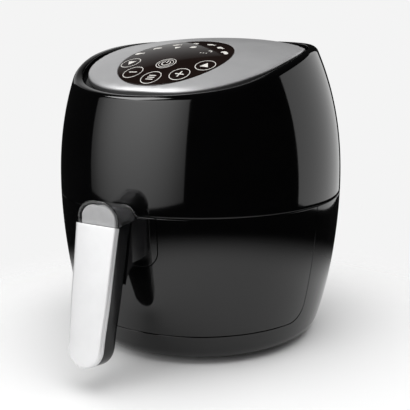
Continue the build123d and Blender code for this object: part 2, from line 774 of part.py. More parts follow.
front_solid = body_band(25.0, FRONT_TOP, 0.0)
front_inner = body_band(20.0, FRONT_TOP - 3.0, 3.0)
front_outside = front_region(SPLIT_Y, FRONT_LOW, 150.0, CORNER_R)
front_inside = front_region(SPLIT_Y - 3.0, FRONT_LOW + 3.0, 160.0, CORNER_R - 3.0)
front_notch = panel_cut(PANEL_HW, PANEL_LOW, 16.0)
with BuildPart() as front_hollow:
    add(front_inner)
    add(front_inside, mode=Mode.INTERSECT)
with BuildPart() as drawer_front:
    add(front_solid)
    add(front_outside, mode=Mode.INTERSECT)
    add(front_hollow.part, mode=Mode.SUBTRACT)
    # bosses that carry the pan
    with BuildSketch(across(-95)):
        with Locations((-30, 62), (30, 62), (-62, 88), (62, 88)):
            Circle(5.0)
    with BuildSketch(across(-95)):
        with Locations((0, 50)):
            Rectangle(60, 3)
    extrude(amount=60)
    add(front_solid, mode=Mode.INTERSECT)
    # room for the pan and its rim
    with BuildSketch(level(FRONT_LOW + 3.0)):
        Circle(PAN_R + 0.05)
    extrude(amount=200, mode=Mode.SUBTRACT)
    with BuildSketch(level(PAN_TOP - 2.0)):
        Circle(PAN_R + 3.2)
    extrude(amount=60, mode=Mode.SUBTRACT)
    add(front_notch, mode=Mode.SUBTRACT)
    for x, z in ((-30, 62), (30, 62), (-62, 88), (62, 88)):
        with BuildSketch(across(-90)):
            with Locations((x, z)):
                Circle(1.5)
        extrude(amount=math.sqrt(PAN_R ** 2 - x * x) + 9.0 - 90, mode=Mode.SUBTRACT)
drawer_front.part.label = "drawer_front"
export_step(drawer_front.part, "parts/drawer_front.step")

with BuildPart() as drawer_pan:
    with BuildSketch(MID):
        with BuildLine():
            Polyline((0, PAN_LOW), (PAN_R - 14, PAN_LOW))
            RadiusArc((PAN_R - 14, PAN_LOW), (PAN_R, PAN_LOW + 14), -14)
            Polyline((PAN_R, PAN_LOW + 14), (PAN_R, PAN_TOP - PAN_T), (PAN_R + 2.8, PAN_TOP - PAN_T),
                     (PAN_R + 2.8, PAN_TOP), (PAN_R - PAN_T, PAN_TOP), (PAN_R - PAN_T, PAN_LOW + 14))
            RadiusArc((PAN_R - PAN_T, PAN_LOW + 14), (PAN_R - 14, PAN_LOW + PAN_T), 14 - PAN_T)
            Polyline((PAN_R - 14, PAN_LOW + PAN_T), (0, PAN_LOW + PAN_T), (0, PAN_LOW))
        make_face()
    revolve(axis=AXIS)
    for x, z in ((-30, 62), (30, 62), (-62, 88), (62, 88)):
        with BuildSketch(across(-70)):
            with Locations((x, z)):
                Circle(1.6)
        extrude(amount=50, mode=Mode.SUBTRACT)
drawer_pan.part.label = "drawer_pan"
export_step(drawer_pan.part, "parts/drawer_pan.step")

with BuildPart() as pan_screws:
    for x, z in ((-30, 62), (30, 62), (-62, 88), (62, 88)):
        yi = -math.sqrt((PAN_R - PAN_T) ** 2 - (abs(x) + 3.4) ** 2)
        with BuildSketch(across(yi)):
            with Locations((x, z)):
                Circle(3.4)
        extrude(amount=-1.4)
        with BuildSketch(across(yi)):
            with Locations((x, z)):
                Circle(1.45)
        extrude(amount=math.sqrt(PAN_R ** 2 - x * x) + 7.0 + yi)
pan_screws.part.label = "pan_screws"
export_step(pan_screws.part, "parts/pan_screws.step")

# catch plate on the pan for the basket release
with BuildPart() as latch_keeper:
    with BuildSketch(side()):
        with BuildLine():
            Polyline((-108.3, 118.0), (-108.3, 129.6), (-131.0, 129.6), (-131.0, 121.8), (-129.6, 121.8), (-129.6, 128.2),
                     (-109.7, 128.2), (-109.7, 118.0), close=True)
        make_face()
    extrude(amount=9.0, both=True)
latch_keeper.part.label = "latch_keeper"
export_step(latch_keeper.part, "parts/latch_keeper.step")

# -------------------------------------------------- panel behind the handle
panel_shell = body_band(60.0, FRONT_TOP, 0.0, 3.0)
panel_top = body_band(FRONT_TOP - 3.0, FRONT_TOP, 2.0)
panel_block = panel_cut(PANEL_HW - 0.4, PANEL_LOW + 0.4, 15.6)
with BuildPart() as handle_panel:
    add(panel_shell)
    add(panel_block, mode=Mode.INTERSECT)
    with BuildSketch(level(FRONT_TOP - 3.0)):
        with Locations((0, -127)):
            Rectangle(2 * (PANEL_HW - 0.4), 18.0)
    extrude(amount=3.0)
    # bosses that the bracket is screwed against
    with BuildSketch(across(BRACKET_Y - 1.52)):
        with Locations((-17, 126), (17, 126)):
            Circle(4.2)
    extrude(amount=4.0)
    add(body_band(60.0, FRONT_TOP, 0.0), mode=Mode.INTERSECT)
    # screw holes and latch slot
    with BuildSketch(across(-90)):
        with Locations((-17, 126), (17, 126)):
            Circle(2.1)
        with Locations((0, 119.5)):
            Rectangle(10.4, 13.0)
    extrude(amount=90, mode=Mode.SUBTRACT)
handle_panel.part.label = "handle_panel"
export_step(handle_panel.part, "parts/handle_panel.step")

# ------------------------------------------------------------------ basket
with BuildPart() as fry_basket:
    with BuildSketch(MID):
        with BuildLine():
            Polyline((0, BASKET_LOW), (BASKET_R - 10, BASKET_LOW))
            RadiusArc((BASKET_R - 10, BASKET_LOW), (BASKET_R, BASKET_LOW + 10), -10)
            Polyline((BASKET_R, BASKET_LOW + 10), (BASKET_R, BASKET_TOP - 2.4), (BASKET_R + 2.2, BASKET_TOP - 2.4),
                     (BASKET_R + 2.2, BASKET_TOP), (BASKET_R - BASKET_T, BASKET_TOP), (BASKET_R - BASKET_T, BASKET_LOW + 10))
            RadiusArc((BASKET_R - BASKET_T, BASKET_LOW + 10), (BASKET_R - 10, BASKET_LOW + BASKET_T), 10 - BASKET_T)
            Polyline((BASKET_R - 10, BASKET_LOW + BASKET_T), (0, BASKET_LOW + BASKET_T), (0, BASKET_LOW))
        make_face()
    revolve(axis=AXIS)
    # perforated floor
    with BuildSketch(level(BASKET_LOW - 1)):
        Circle(2.6)
        for k, n in ((1, 6), (2, 12), (3, 18), (4, 24), (5, 30)):
            with PolarLocations(15.0 * k, n, 7.0 * k):
                Circle(2.6)
    extrude(amount=4, mode=Mode.SUBTRACT)
    # upright slots around the wall, clear of the bracket
    for k in range(10):
        ang = 36.0 + 12.0 * k
        c, s = math.cos(math.radians(ang)), math.sin(math.radians(ang))
        pl = Plane(origin=(0, AXIS_Y, 0), x_dir=(-s, c, 0), z_dir=(c, s, 0))
        with BuildSketch(pl):
            with Locations((0, 76), (0, 104)):
                SlotOverall(20, 3.4, rotation=90)
        extrude(amount=130, mode=Mode.SUBTRACT)
        pl2 = Plane(origin=(0, AXIS_Y, 0), x_dir=(s, -c, 0), z_dir=(-c, -s, 0))
        if abs(ang - 90) > 20:
            with BuildSketch(pl2):
                with Locations((0, 76), (0, 104)):
                    SlotOverall(20, 3.4, rotation=90)
            extrude(amount=130, mode=Mode.SUBTRACT)
with BuildPart() as rivet_holes:
    with BuildSketch(across(-90)):
        with Locations((-14, 112), (14, 112)):
            Circle(1.8)
    extrude(amount=20)
with BuildPart() as fry_basket_done:
    add(fry_basket.part)
    add(rivet_holes.part, mode=Mode.SUBTRACT)
fry_basket = fry_basket_done
fry_basket.part.label = "fry_basket"
export_step(fry_basket.part, "parts/fry_basket.step")

with BuildPart() as basket_feet:
    with BuildSketch(level(PAN_LOW + PAN_T + 0.1)):
        with PolarLocations(82.4, 4, 45):
            Circle(4.5)
    extrude(amount=BASKET_LOW - PAN_LOW - PAN_T - 0.1)
basket_feet.part.label = "basket_feet"
export_step(basket_feet.part, "parts/basket_feet.step")

bracket_band_y = -math.sqrt((BASKET_R + 1.4) ** 2 - 22.0 ** 2)
with BuildPart() as basket_bracket:
    # curved pad against the basket wall and a tongue over the pan rim
    with BuildSketch(level(104.0)):
        with BuildLine():
            ThreePointArc((-22, -math.sqrt((BASKET_R + 0.02) ** 2 - 22 ** 2)), (0, -(BASKET_R + 0.02)),
                          (22, -math.sqrt((BASKET_R + 0.02) ** 2 - 22 ** 2)))
            Line((22, -math.sqrt((BASKET_R + 0.02) ** 2 - 22 ** 2)), (22, -math.sqrt((BASKET_R + 1.5) ** 2 - 22 ** 2)))
            ThreePointArc((22, -math.sqrt((BASKET_R + 1.5) ** 2 - 22 ** 2)), (0, -(BASKET_R + 1.5)),
                          (-22, -math.sqrt((BASKET_R + 1.5) ** 2 - 22 ** 2)))
            Line((-22, -math.sqrt((BASKET_R + 1.5) ** 2 - 22 ** 2)), (-22, -math.sqrt((BASKET_R + 0.02) ** 2 - 22 ** 2)))
        make_face()
    extrude(amount=29.6)
    with BuildSketch(level(132.1)):
        with Locations((0, (BRACKET_Y - 1.5 - 100.3) / 2)):
            Rectangle(44, -(BRACKET_Y - 1.5) - 100.3)
        Circle(BASKET_R + 0.05, mode=Mode.SUBTRACT)
    extrude(amount=1.5)
    with BuildSketch(across(BRACKET_Y)):
        with Locations((0, 125.3)):
            Rectangle(44, 16.6)
        with Locations((0, 119.5)):
            Rectangle(10.4, 13.0, mode=Mode.SUBTRACT)
        with Locations((-17, 126), (17, 126)):
            Circle(2.1, mode=Mode.SUBTRACT)
    extrude(amount=1.5)
    with BuildSketch(across(-90)):
        with Locations((-14, 112), (14, 112)):
            Circle(1.8)
    extrude(amount=20, mode=Mode.SUBTRACT)
basket_bracket.part.label = "basket_bracket"
export_step(basket_bracket.part, "parts/basket_bracket.step")

with BuildPart() as bracket_rivets:
    for x in (-14, 14):
        yo = -math.sqrt((BASKET_R + 1.5) ** 2 - (14 - 3.0) ** 2)
        with BuildSketch(across(yo)):
            with Locations((x, 112)):
                Circle(3.0)
        extrude(amount=0.9)
        with BuildSketch(across(yo + 3.0)):
            with Locations((x, 112)):
                Circle(1.75)
        extrude(amount=3.2)
bracket_rivets.part.label = "bracket_rivets"
export_step(bracket_rivets.part, "parts/bracket_rivets.step")

# ------------------------------------------------------------------ handle
gd = (0, -math.sin(GRIP_TILT), -math.cos(GRIP_TILT))     # down along the grip
gn = (0, -math.cos(GRIP_TILT), math.sin(GRIP_TILT))      # out of the grip's face


def top_line(y):
    """Height of the surface that the button guard slides over."""
    return 140.45 + (y + 171.0) * 1.65 / 29.6


below_guard = side_block([(-215, 0), (-215, top_line(-215)), (-100, top_line(-100)), (-100, 0)], 60)
slide_rise = 44.0 * math.tan(GUARD_TILT)
below_slide = side_block([(-215, 0), (-215, top_line(-171.0) + slide_rise), (-171, top_line(-171.0)), (-165, top_line(-171.0) - 6.0 * math.tan(GUARD_TILT)),
                          (-165, 0)], 60)


def grip_plane(back):
    """Plane of the grip's face moved back into the handle; local y is up."""
    return Plane(origin=(0, AXIS_Y + GRIP_TOP_Y - back * gn[1], GRIP_TOP_Z - back * gn[2]), x_dir=(1, 0, 0), z_dir=gn)


def grip_face(plane, inset=0.0, top=0.0):
    w0, w1, w2 = 21.6 - inset, 19.65 - inset, 17.75 - inset
    low = GRIP_LEN - 17.75
    with BuildSketch(plane) as s:
        with BuildLine():
            Spline((w0, top), (w1, -62.0), (w2, -low), tangents=[(-0.045, -1), (0, -1)])
            ThreePointArc((w2, -low), (0, -low - w2), (-w2, -low))
            Spline((-w2, -low), (-w1, -62.0), (-w0, top), tangents=[(0, 1), (0.045, 1)])
            Line((-w0, top), (w0, top))
        make_face()
    return s.sketch


with BuildPart() as handle_trim:
    extrude(grip_face(grip_plane(TRIM_T), 0.0, 1.5), amount=TRIM_T)
    front_face = handle_trim.faces().sort_by(Axis((0, 0, 0), gn))[-1]
    fillet(front_face.edges().sort_by(Axis.Z)[:-1], 2.9)
    extrude(grip_face(grip_plane(TRIM_T + 1.0), 2.6, -3.6), amount=TRIM_T - 1.6, mode=Mode.SUBTRACT)
    # the top edge follows the slope that the guard slides on
    add(below_slide, mode=Mode.INTERSECT)
handle_trim.part.label = "handle_trim"
export_step(handle_trim.part, "parts/handle_trim.step")

with BuildPart() as handle_grip:
    extrude(grip_face(grip_plane(GRIP_THICK), 0.25, 9.0), amount=GRIP_THICK - TRIM_T - 0.1)
    back_face = handle_grip.faces().sort_by(Axis((0, 0, 0), gn))[0]
    fillet(back_face.edges().sort_by(Axis.Z)[:-1], 7.0)
    extrude(grip_face(grip_plane(TRIM_T + 4.0), 2.9, -3.9), amount=4.0 + TRIM_T - 2.9)
    # moulding pocket, reached from the front
    extrude(grip_face(grip_plane(GRIP_THICK - 3.0), 6.0, -14.0), amount=GRIP_THICK, mode=Mode.SUBTRACT)
    add(below_guard, mode=Mode.INTERSECT)
handle_grip.part.label = "handle_grip"
export_step(handle_grip.part, "parts/handle_grip.step")

ARM_TOP = 141.4
arm_body = body_band(60.0, 142.0, -0.02)
with BuildPart() as arm_front_view:
    with BuildSketch(across(-100)):
        with BuildLine():
            Polyline((-27.3, 141.9), (-27.3, 116.5))
            RadiusArc((-27.3, 116.5), (-15.3, 104.5), -12)
            Polyline((-15.3, 104.5), (-15.3, 70), (15.3, 70), (15.3, 104.5))
            RadiusArc((15.3, 104.5), (27.3, 116.5), -12)
            Polyline((27.3, 116.5), (27.3, 141.9), (-27.3, 141.9))
        make_face()
        with Locations((0, 95)):
            Rectangle(38.6, 50)
    extrude(amount=80)
with BuildPart() as arm_side_view:
    bp = lambda z: GRIP_TOP_Y + GRIP_THICK / math.cos(GRIP_TILT) - math.tan(GRIP_TILT) * (GRIP_TOP_Z - z)
    with BuildSketch(side()):
        with BuildLine():
            Polyline((-110, 104.5), (-110, 141.9), (bp(141.9) + 0.1, 141.9), (bp(86.0) + 0.1, 86.0))
            ThreePointArc((bp(86.0) + 0.1, 86.0), (bp(86.0) + 5.6, 97.6), (-142.0, 104.5))
            Line((-142.0, 104.5), (-110, 104.5))
        make_face()
    extrude(amount=60, both=True)
with BuildPart() as handle_arm:
    with BuildSketch(level(70)):
        with BuildLine():
            Polyline((-27.3, -110), (-27.3, -139.6), (-25.9, -141.4))
            ThreePointArc((-25.9, -141.4), (-21.3, -145.4), (-19.3, -151.5))
            Polyline((-19.3, -151.5), (-19.3, -180), (19.3, -180), (19.3, -151.5))
            ThreePointArc((19.3, -151.5), (21.3, -145.4), (25.9, -141.4))
            Polyline((25.9, -141.4), (27.3, -139.6), (27.3, -110), (-27.3, -110))
        make_face()
    extrude(amount=80)
    add(arm_front_view.part, mode=Mode.INTERSECT)
    add(arm_side_view.part, mode=Mode.INTERSECT)
    add(below_guard, mode=Mode.INTERSECT)
    add(arm_body, mode=Mode.SUBTRACT)
    # channel for the release latch
    with BuildSketch(level(112.8)):
        with Locations((0, -142.0)):
            Rectangle(10.4, 14.0)
    extrude(amount=40, mode=Mode.SUBTRACT)
    # screw holes from the panel side
    with BuildSketch(across(-130)):
        with Locations((-17, 126), (17, 126)):
            Circle(1.6)
    extrude(amount=18, mode=Mode.SUBTRACT)
handle_arm.part.label = "handle_arm"
export_step(handle_arm.part, "parts/handle_arm.step")

with BuildPart() as handle_screws:
    for x in (-17, 17):
        with BuildSketch(across(BRACKET_Y)):
            with Locations((x, 126)):
                Circle(3.4)
        extrude(amount=-2.0)
        with BuildSketch(across(BRACKET_Y)):
            with Locations((x, 126)):
                Circle(1.55)
        extrude(amount=12.0)
handle_screws.part.label = "handle_screws"
export_step(handle_screws.part, "parts/handle_screws.step")

# ------------------------------------- release button under its sliding guard
sa, ca = math.sin(GUARD_TILT), math.cos(GUARD_TILT)
GUARD_Y0, GUARD_Y1 = -171.0, -141.4
GUARD_BASE = 140.0


def arch(plane, inset, low):
    """Arch section: upright sides and a crowned top."""
    h, w = 21.0 - inset, 21.2 - inset
    with BuildSketch(plane) as s:
        with BuildLine():
            Polyline((-w, low), (w, low), (w, 8.0))
            ThreePointArc((w, 8.0), (w * 0.735, 0.62 * (h - 8.0) + 8.0 + 1.2), (0, h))
            ThreePointArc((0, h), (-w * 0.735, 0.62 * (h - 8.0) + 8.0 + 1.2), (-w, 8.0))
            Line((-w, 8.0), (-w, low))
        make_face()
    return s.sketch


def arch_plane(y):
    """Upright section plane whose local zero rides up the guard's slope."""
    return Plane(origin=(0, AXIS_Y + y, GUARD_BASE + (GUARD_Y0 - y) * math.tan(GUARD_TILT)), x_dir=(1, 0, 0), z_dir=(0, -1, 0))


def arch_limits(y_front, y_back, z_front, z_back):
    return side_block([(y_front, z_front), (y_back, z_back), (y_back, 175), (y_front, 175)], 40)


guard_limits = arch_limits(GUARD_Y0, GUARD_Y1, top_line(GUARD_Y0) + 0.25, top_line(GUARD_Y1) + 0.25)
with BuildPart() as button_guard:
    extrude(arch(arch_plane(-125.0), 0.0, -30.0), amount=80.0, dir=(0, -ca, sa))
    extrude(arch(arch_plane(-120.0), 2.4, -40.0), amount=90.0, dir=(0, -ca, sa), mode=Mode.SUBTRACT)
    add(guard_limits, mode=Mode.INTERSECT)
button_guard.part.label = "button_guard"
export_step(button_guard.part, "parts/button_guard.step")

core_limits = arch_limits(GUARD_Y0 + 0.8, GUARD_Y1 - 0.8, top_line(GUARD_Y0 + 0.8), top_line(GUARD_Y1 - 0.8))
with BuildPart() as button_housing:
    extrude(arch(arch_plane(-125.0), 3.6, -30.0), amount=80.0, dir=(0, -ca, sa))
    add(core_limits, mode=Mode.INTERSECT)
    # well for the button
    with BuildSketch(level(143.6)):
        with Locations((0, -151.2)):
            RectangleRounded(20.6, 12.6, 3.3)
    extrude(amount=30, mode=Mode.SUBTRACT)
    with BuildSketch(level(130)):
        with Locations((0, -147.8)):
            Rectangle(9.4, 3.0)
    extrude(amount=30, mode=Mode.SUBTRACT)
button_housing.part.label = "button_housing"
export_step(button_housing.part, "parts/button_housing.step")

BUTTON_LOW = 149.0
button_limits = arch_limits(-170.0, -142.0, BUTTON_LOW, BUTTON_LOW)
with BuildPart() as release_button:
    extrude(arch(arch_plane(-125.0), 2.9, -30.0), amount=80.0, dir=(0, -ca, sa))
    add(button_limits, mode=Mode.INTERSECT)
    with BuildSketch(level(130)):
        with Locations((0, -151.2)):
            RectangleRounded(20.0, 12.0, 3.0)
    extrude(amount=60, mode=Mode.INTERSECT)
release_button.part.label = "release_button"
export_step(release_button.part, "parts/release_button.step")

with BuildPart() as release_latch:
    with BuildSketch(side()):
        with BuildLine():
            Polyline((-147.0, BUTTON_LOW), (-148.4, BUTTON_LOW), (-148.4, 116.9), (-126.6, 116.9), (-126.6, 124.4), (-128.2, 124.4),
                     (-128.2, 118.3), (-147.0, 118.3), close=True)
        make_face()
    extrude(amount=4.0, both=True)
release_latch.part.label = "release_latch"
export_step(release_latch.part, "parts/release_latch.step")

SPRING_LOW = 143.65
with BuildPart() as button_spring:
    with BuildLine() as coil:
        Helix(pitch=1.5, height=BUTTON_LOW - SPRING_LOW - 0.8, radius=2.6, center=(0, AXIS_Y - 153.6, SPRING_LOW + 0.4))
    with BuildSketch(Plane(origin=coil.edges()[0] @ 0, z_dir=coil.edges()[0] % 0)):
        Circle(0.38)
    sweep()
button_spring.part.label = "button_spring"
export_step(button_spring.part, "parts/button_spring.step")
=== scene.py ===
import bpy
import bmesh
import json
import math
import numpy as np
from mathutils import Vector, Matrix
from mathutils.geometry import delaunay_2d_cdt


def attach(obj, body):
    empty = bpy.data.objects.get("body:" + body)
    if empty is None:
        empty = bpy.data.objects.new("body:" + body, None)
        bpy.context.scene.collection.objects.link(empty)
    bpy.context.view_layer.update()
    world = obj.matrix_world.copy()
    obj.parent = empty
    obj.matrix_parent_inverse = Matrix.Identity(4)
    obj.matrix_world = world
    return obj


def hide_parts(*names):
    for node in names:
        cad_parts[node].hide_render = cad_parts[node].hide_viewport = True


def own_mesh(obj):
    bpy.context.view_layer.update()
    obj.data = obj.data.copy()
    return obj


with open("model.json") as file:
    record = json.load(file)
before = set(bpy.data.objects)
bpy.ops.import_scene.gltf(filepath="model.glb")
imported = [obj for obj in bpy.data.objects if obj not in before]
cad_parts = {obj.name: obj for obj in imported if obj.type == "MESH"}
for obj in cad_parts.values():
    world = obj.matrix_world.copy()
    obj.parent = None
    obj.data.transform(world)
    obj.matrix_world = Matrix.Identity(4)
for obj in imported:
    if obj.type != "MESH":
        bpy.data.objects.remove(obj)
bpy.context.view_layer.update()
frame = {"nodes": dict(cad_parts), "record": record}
nodes = frame["nodes"]
scene = bpy.context.scene
MM = 0.001

# ---------------------------------------------------------------------------
# shape numbers shared with the CAD part (millimetres, from the body axis)
# ---------------------------------------------------------------------------
AXIS_Y = 29.4
PROFILE = (0.4818, -1.0471, -2.8217, -10.7648, 0.8299, 139.8089)
SEAM_LOW, SEAM_HIGH = 142.6, 143.4
DOME_YC, DOME_TOP, DOME_RX, DOME_RY = 46.9, 288.3, 583.0, 307.1
PLATE_T = 6.5
LENS_R, LENS_Y = 54.3, -46.0
GRIP_TILT = math.atan(0.2045)
GUARD_TILT = math.radians(15.8)
R0 = 140.0


def rad(z):
    u = (z - 144.0) / 100.0
    v = 0.0
    for c in PROFILE:
        v = v * u + c
    return v


def drad(z):
    return (rad(z + 0.05) - rad(z - 0.05)) / 0.1


def dome(x, y, drop=0.0):
    rho = DOME_RX - DOME_RY + math.sqrt(max(DOME_RY ** 2 - (y - DOME_YC) ** 2, 0.0)) - drop
    return DOME_TOP - DOME_RX + math.sqrt(max(rho * rho - x * x, 0.0))


def natural_spline(xs, ys):
    n = len(xs)
    a = np.zeros((n, n))
    b = np.zeros(n)
    h = np.diff(xs)
    a[0, 0] = a[-1, -1] = 1.0
    for i in range(1, n - 1):
        a[i, i - 1], a[i, i], a[i, i + 1] = h[i - 1], 2 * (h[i - 1] + h[i]), h[i]
        b[i] = 6 * ((ys[i + 1] - ys[i]) / h[i] - (ys[i] - ys[i - 1]) / h[i - 1])
    m = np.linalg.solve(a, b)

    def f(x):
        i = min(max(int(np.searchsorted(xs, x)) - 1, 0), n - 2)
        t0, t1 = xs[i + 1] - x, x - xs[i]
        return float((m[i] * t0 ** 3 + m[i + 1] * t1 ** 3) / (6 * h[i])
                     + (ys[i] / h[i] - m[i] * h[i] / 6) * t0 + (ys[i + 1] / h[i] - m[i + 1] * h[i] / 6) * t1)
    return f


RIM = [(-170, 236.0), (-127, 243.6), (-112, 246.6), (-93, 250.8), (-62, 260.6), (-28, 270.8), (8, 277.6),
       (37, 280.9), (80, 283.4), (165, 284.0)]
rim_z = natural_spline([p[0] for p in RIM], [p[1] for p in RIM])


# ---------------------------------------------------------------------------
# mesh helpers
# ---------------------------------------------------------------------------
def new_object(name, verts, faces, material, body, normals=None, smooth=True):
    me = bpy.data.meshes.new(name)
    me.from_pydata([(x * MM, (y + AXIS_Y) * MM, z * MM) for x, y, z in verts], [], faces)
    me.update()
    if smooth:
        me.polygons.foreach_set("use_smooth", [True] * len(me.polygons))
    if normals is not None:
        flat = [n for fn in normals for n in fn]
        me.normals_split_custom_set(flat)
    o = bpy.data.objects.new(name, me)
    scene.collection.objects.link(o)
    for m in (material if isinstance(material, (list, tuple)) else [material]):
        me.materials.append(m)
    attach(o, body)
    return o


def area(loop):
    return 0.5 * sum(loop[i - 1][0] * loop[i][1] - loop[i][0] * loop[i - 1][1] for i in range(len(loop)))


def resample(points, step, closed=True):
    """Points along straight runs, no further apart than step; corners kept."""
    out = []
    n = len(points)
    for i in range(n if closed else n - 1):
        a, b = points[i], points[(i + 1) % n]
        d = math.hypot(b[0] - a[0], b[1] - a[1])
        k = max(1, int(math.ceil(d / step)))
        for j in range(k):
            out.append((a[0] + (b[0] - a[0]) * j / k, a[1] + (b[1] - a[1]) * j / k))
    if not closed:
        out.append(points[-1])
    clean = [out[0]]
    for p in out[1:]:
        if math.hypot(p[0] - clean[-1][0], p[1] - clean[-1][1]) > 1e-4:
            clean.append(p)
    if closed and math.hypot(clean[0][0] - clean[-1][0], clean[0][1] - clean[-1][1]) < 1e-4:
        clean.pop()
    return clean


def arc(cx, cy, r, a0, a1, n):
    return [(cx + r * math.cos(math.radians(a0 + (a1 - a0) * i / n)), cy + r * math.sin(math.radians(a0 + (a1 - a0) * i / n)))
            for i in range(n + 1)]


def circle(cx, cy, r, n=64):
    return arc(cx, cy, r, 0, 360, n)[:-1]


def offsets(loop, free):
    """Inward vector at each point of a loop; it slides along segments that carry no edge."""
    n = len(loop)
    out = []
    for i in range(n):
        p0, p1, p2 = loop[i - 1], loop[i], loop[(i + 1) % n]
        d1 = (p1[0] - p0[0], p1[1] - p0[1])
        d2 = (p2[0] - p1[0], p2[1] - p1[1])
        l1, l2 = math.hypot(*d1), math.hypot(*d2)
        t1, t2 = (d1[0] / l1, d1[1] / l1), (d2[0] / l2, d2[1] / l2)
        n1, n2 = (-t1[1], t1[0]), (-t2[1], t2[0])
        f1, f2 = (i - 1) % n in free, i in free
        if f1 and f2:
            out.append((0.0, 0.0))
        elif f1:
            k = -t1[0] * n2[0] - t1[1] * n2[1]
            out.append((-t1[0] / k, -t1[1] / k))
        elif f2:
            k = t2[0] * n1[0] + t2[1] * n1[1]
            out.append((t2[0] / k, t2[1] / k))
        else:
            s = (n1[0] + n2[0], n1[1] + n2[1])
            k = max(1 + n1[0] * n2[0] + n1[1] * n2[1], 0.35)
            out.append((s[0] / k, s[1] / k))
    return out


def inside(px, py, loops):
    hit = np.zeros(len(px), bool)
    for lp in loops:
        a = np.array(lp)
        b = np.roll(a, -1, axis=0)
        for (x0, y0), (x1, y1) in zip(a, b):
            if y0 == y1:
                continue
            c = ((y0 > py) != (y1 > py)) & (px < (x1 - x0) * (py - y0) / (y1 - y0) + x0)
            hit ^= c
    return hit


def fill(loops, spacing):
    """Even triangles inside closed loops: (points, triangles, index lists of the loops)."""
    pts, edges, rows = [], [], []
    for lp in loops:
        s = len(pts)
        pts += list(lp)
        rows.append(list(range(s, s + len(lp))))
        edges += [(s + i, s + (i + 1) % len(lp)) for i in range(len(lp))]
    a = np.array(pts)
    lo, hi = a.min(0), a.max(0)
    h = spacing * 0.866
    gx, gy = [], []
    for j in range(int((hi[1] - lo[1]) / h) + 1):
        y = lo[1] + h * (j + 0.5)
        k = int((hi[0] - lo[0]) / spacing) + 1
        xs = lo[0] + spacing * (np.arange(k) + (0.5 if j % 2 else 0.0))
        gx.append(xs)
        gy.append(np.full(k, y))
    gx, gy = np.concatenate(gx), np.concatenate(gy)
    keep = inside(gx, gy, loops)
    gx, gy = gx[keep], gy[keep]
    far = np.ones(len(gx), bool)
    for i in range(0, len(a), 400):
        d = (gx[:, None] - a[None, i:i + 400, 0]) ** 2 + (gy[:, None] - a[None, i:i + 400, 1]) ** 2
        if d.size:
            far &= d.min(1) > (0.55 * spacing) ** 2
    pts += list(zip(gx[far].tolist(), gy[far].tolist()))
    r = delaunay_2d_cdt([Vector(p) for p in pts], edges, [], 0, 1e-7)
    back = {i: o[0] for i, o in enumerate(r[3]) if o}
    tri = np.array([[back[v] for v in f] for f in r[2] if all(v in back for v in f)])
    a = np.array(pts)
    c = a[tri].mean(1)
    tri = tri[inside(c[:, 0], c[:, 1], loops)]
    p0, p1, p2 = a[tri[:, 0]], a[tri[:, 1]], a[tri[:, 2]]
    cr = (p1[:, 0] - p0[:, 0]) * (p2[:, 1] - p0[:, 1]) - (p1[:, 1] - p0[:, 1]) * (p2[:, 0] - p0[:, 0])
    tri = [tuple(int(v) for v in (t if k > 0 else t[::-1])) for t, k in zip(tri, cr) if abs(k) > 1e-9]
    return pts, tri, rows


def surface_normal(mapper, s, t, d=0.0):
    e = 0.05
    a, b = mapper(s + e, t, d), mapper(s - e, t, d)
    c, f = mapper(s, t + e, d), mapper(s, t - e, d)
    u = Vector((a[0] - b[0], a[1] - b[1], a[2] - b[2]))
    v = Vector((c[0] - f[0], c[1] - f[1], c[2] - f[2]))
    return u.cross(v).normalized()


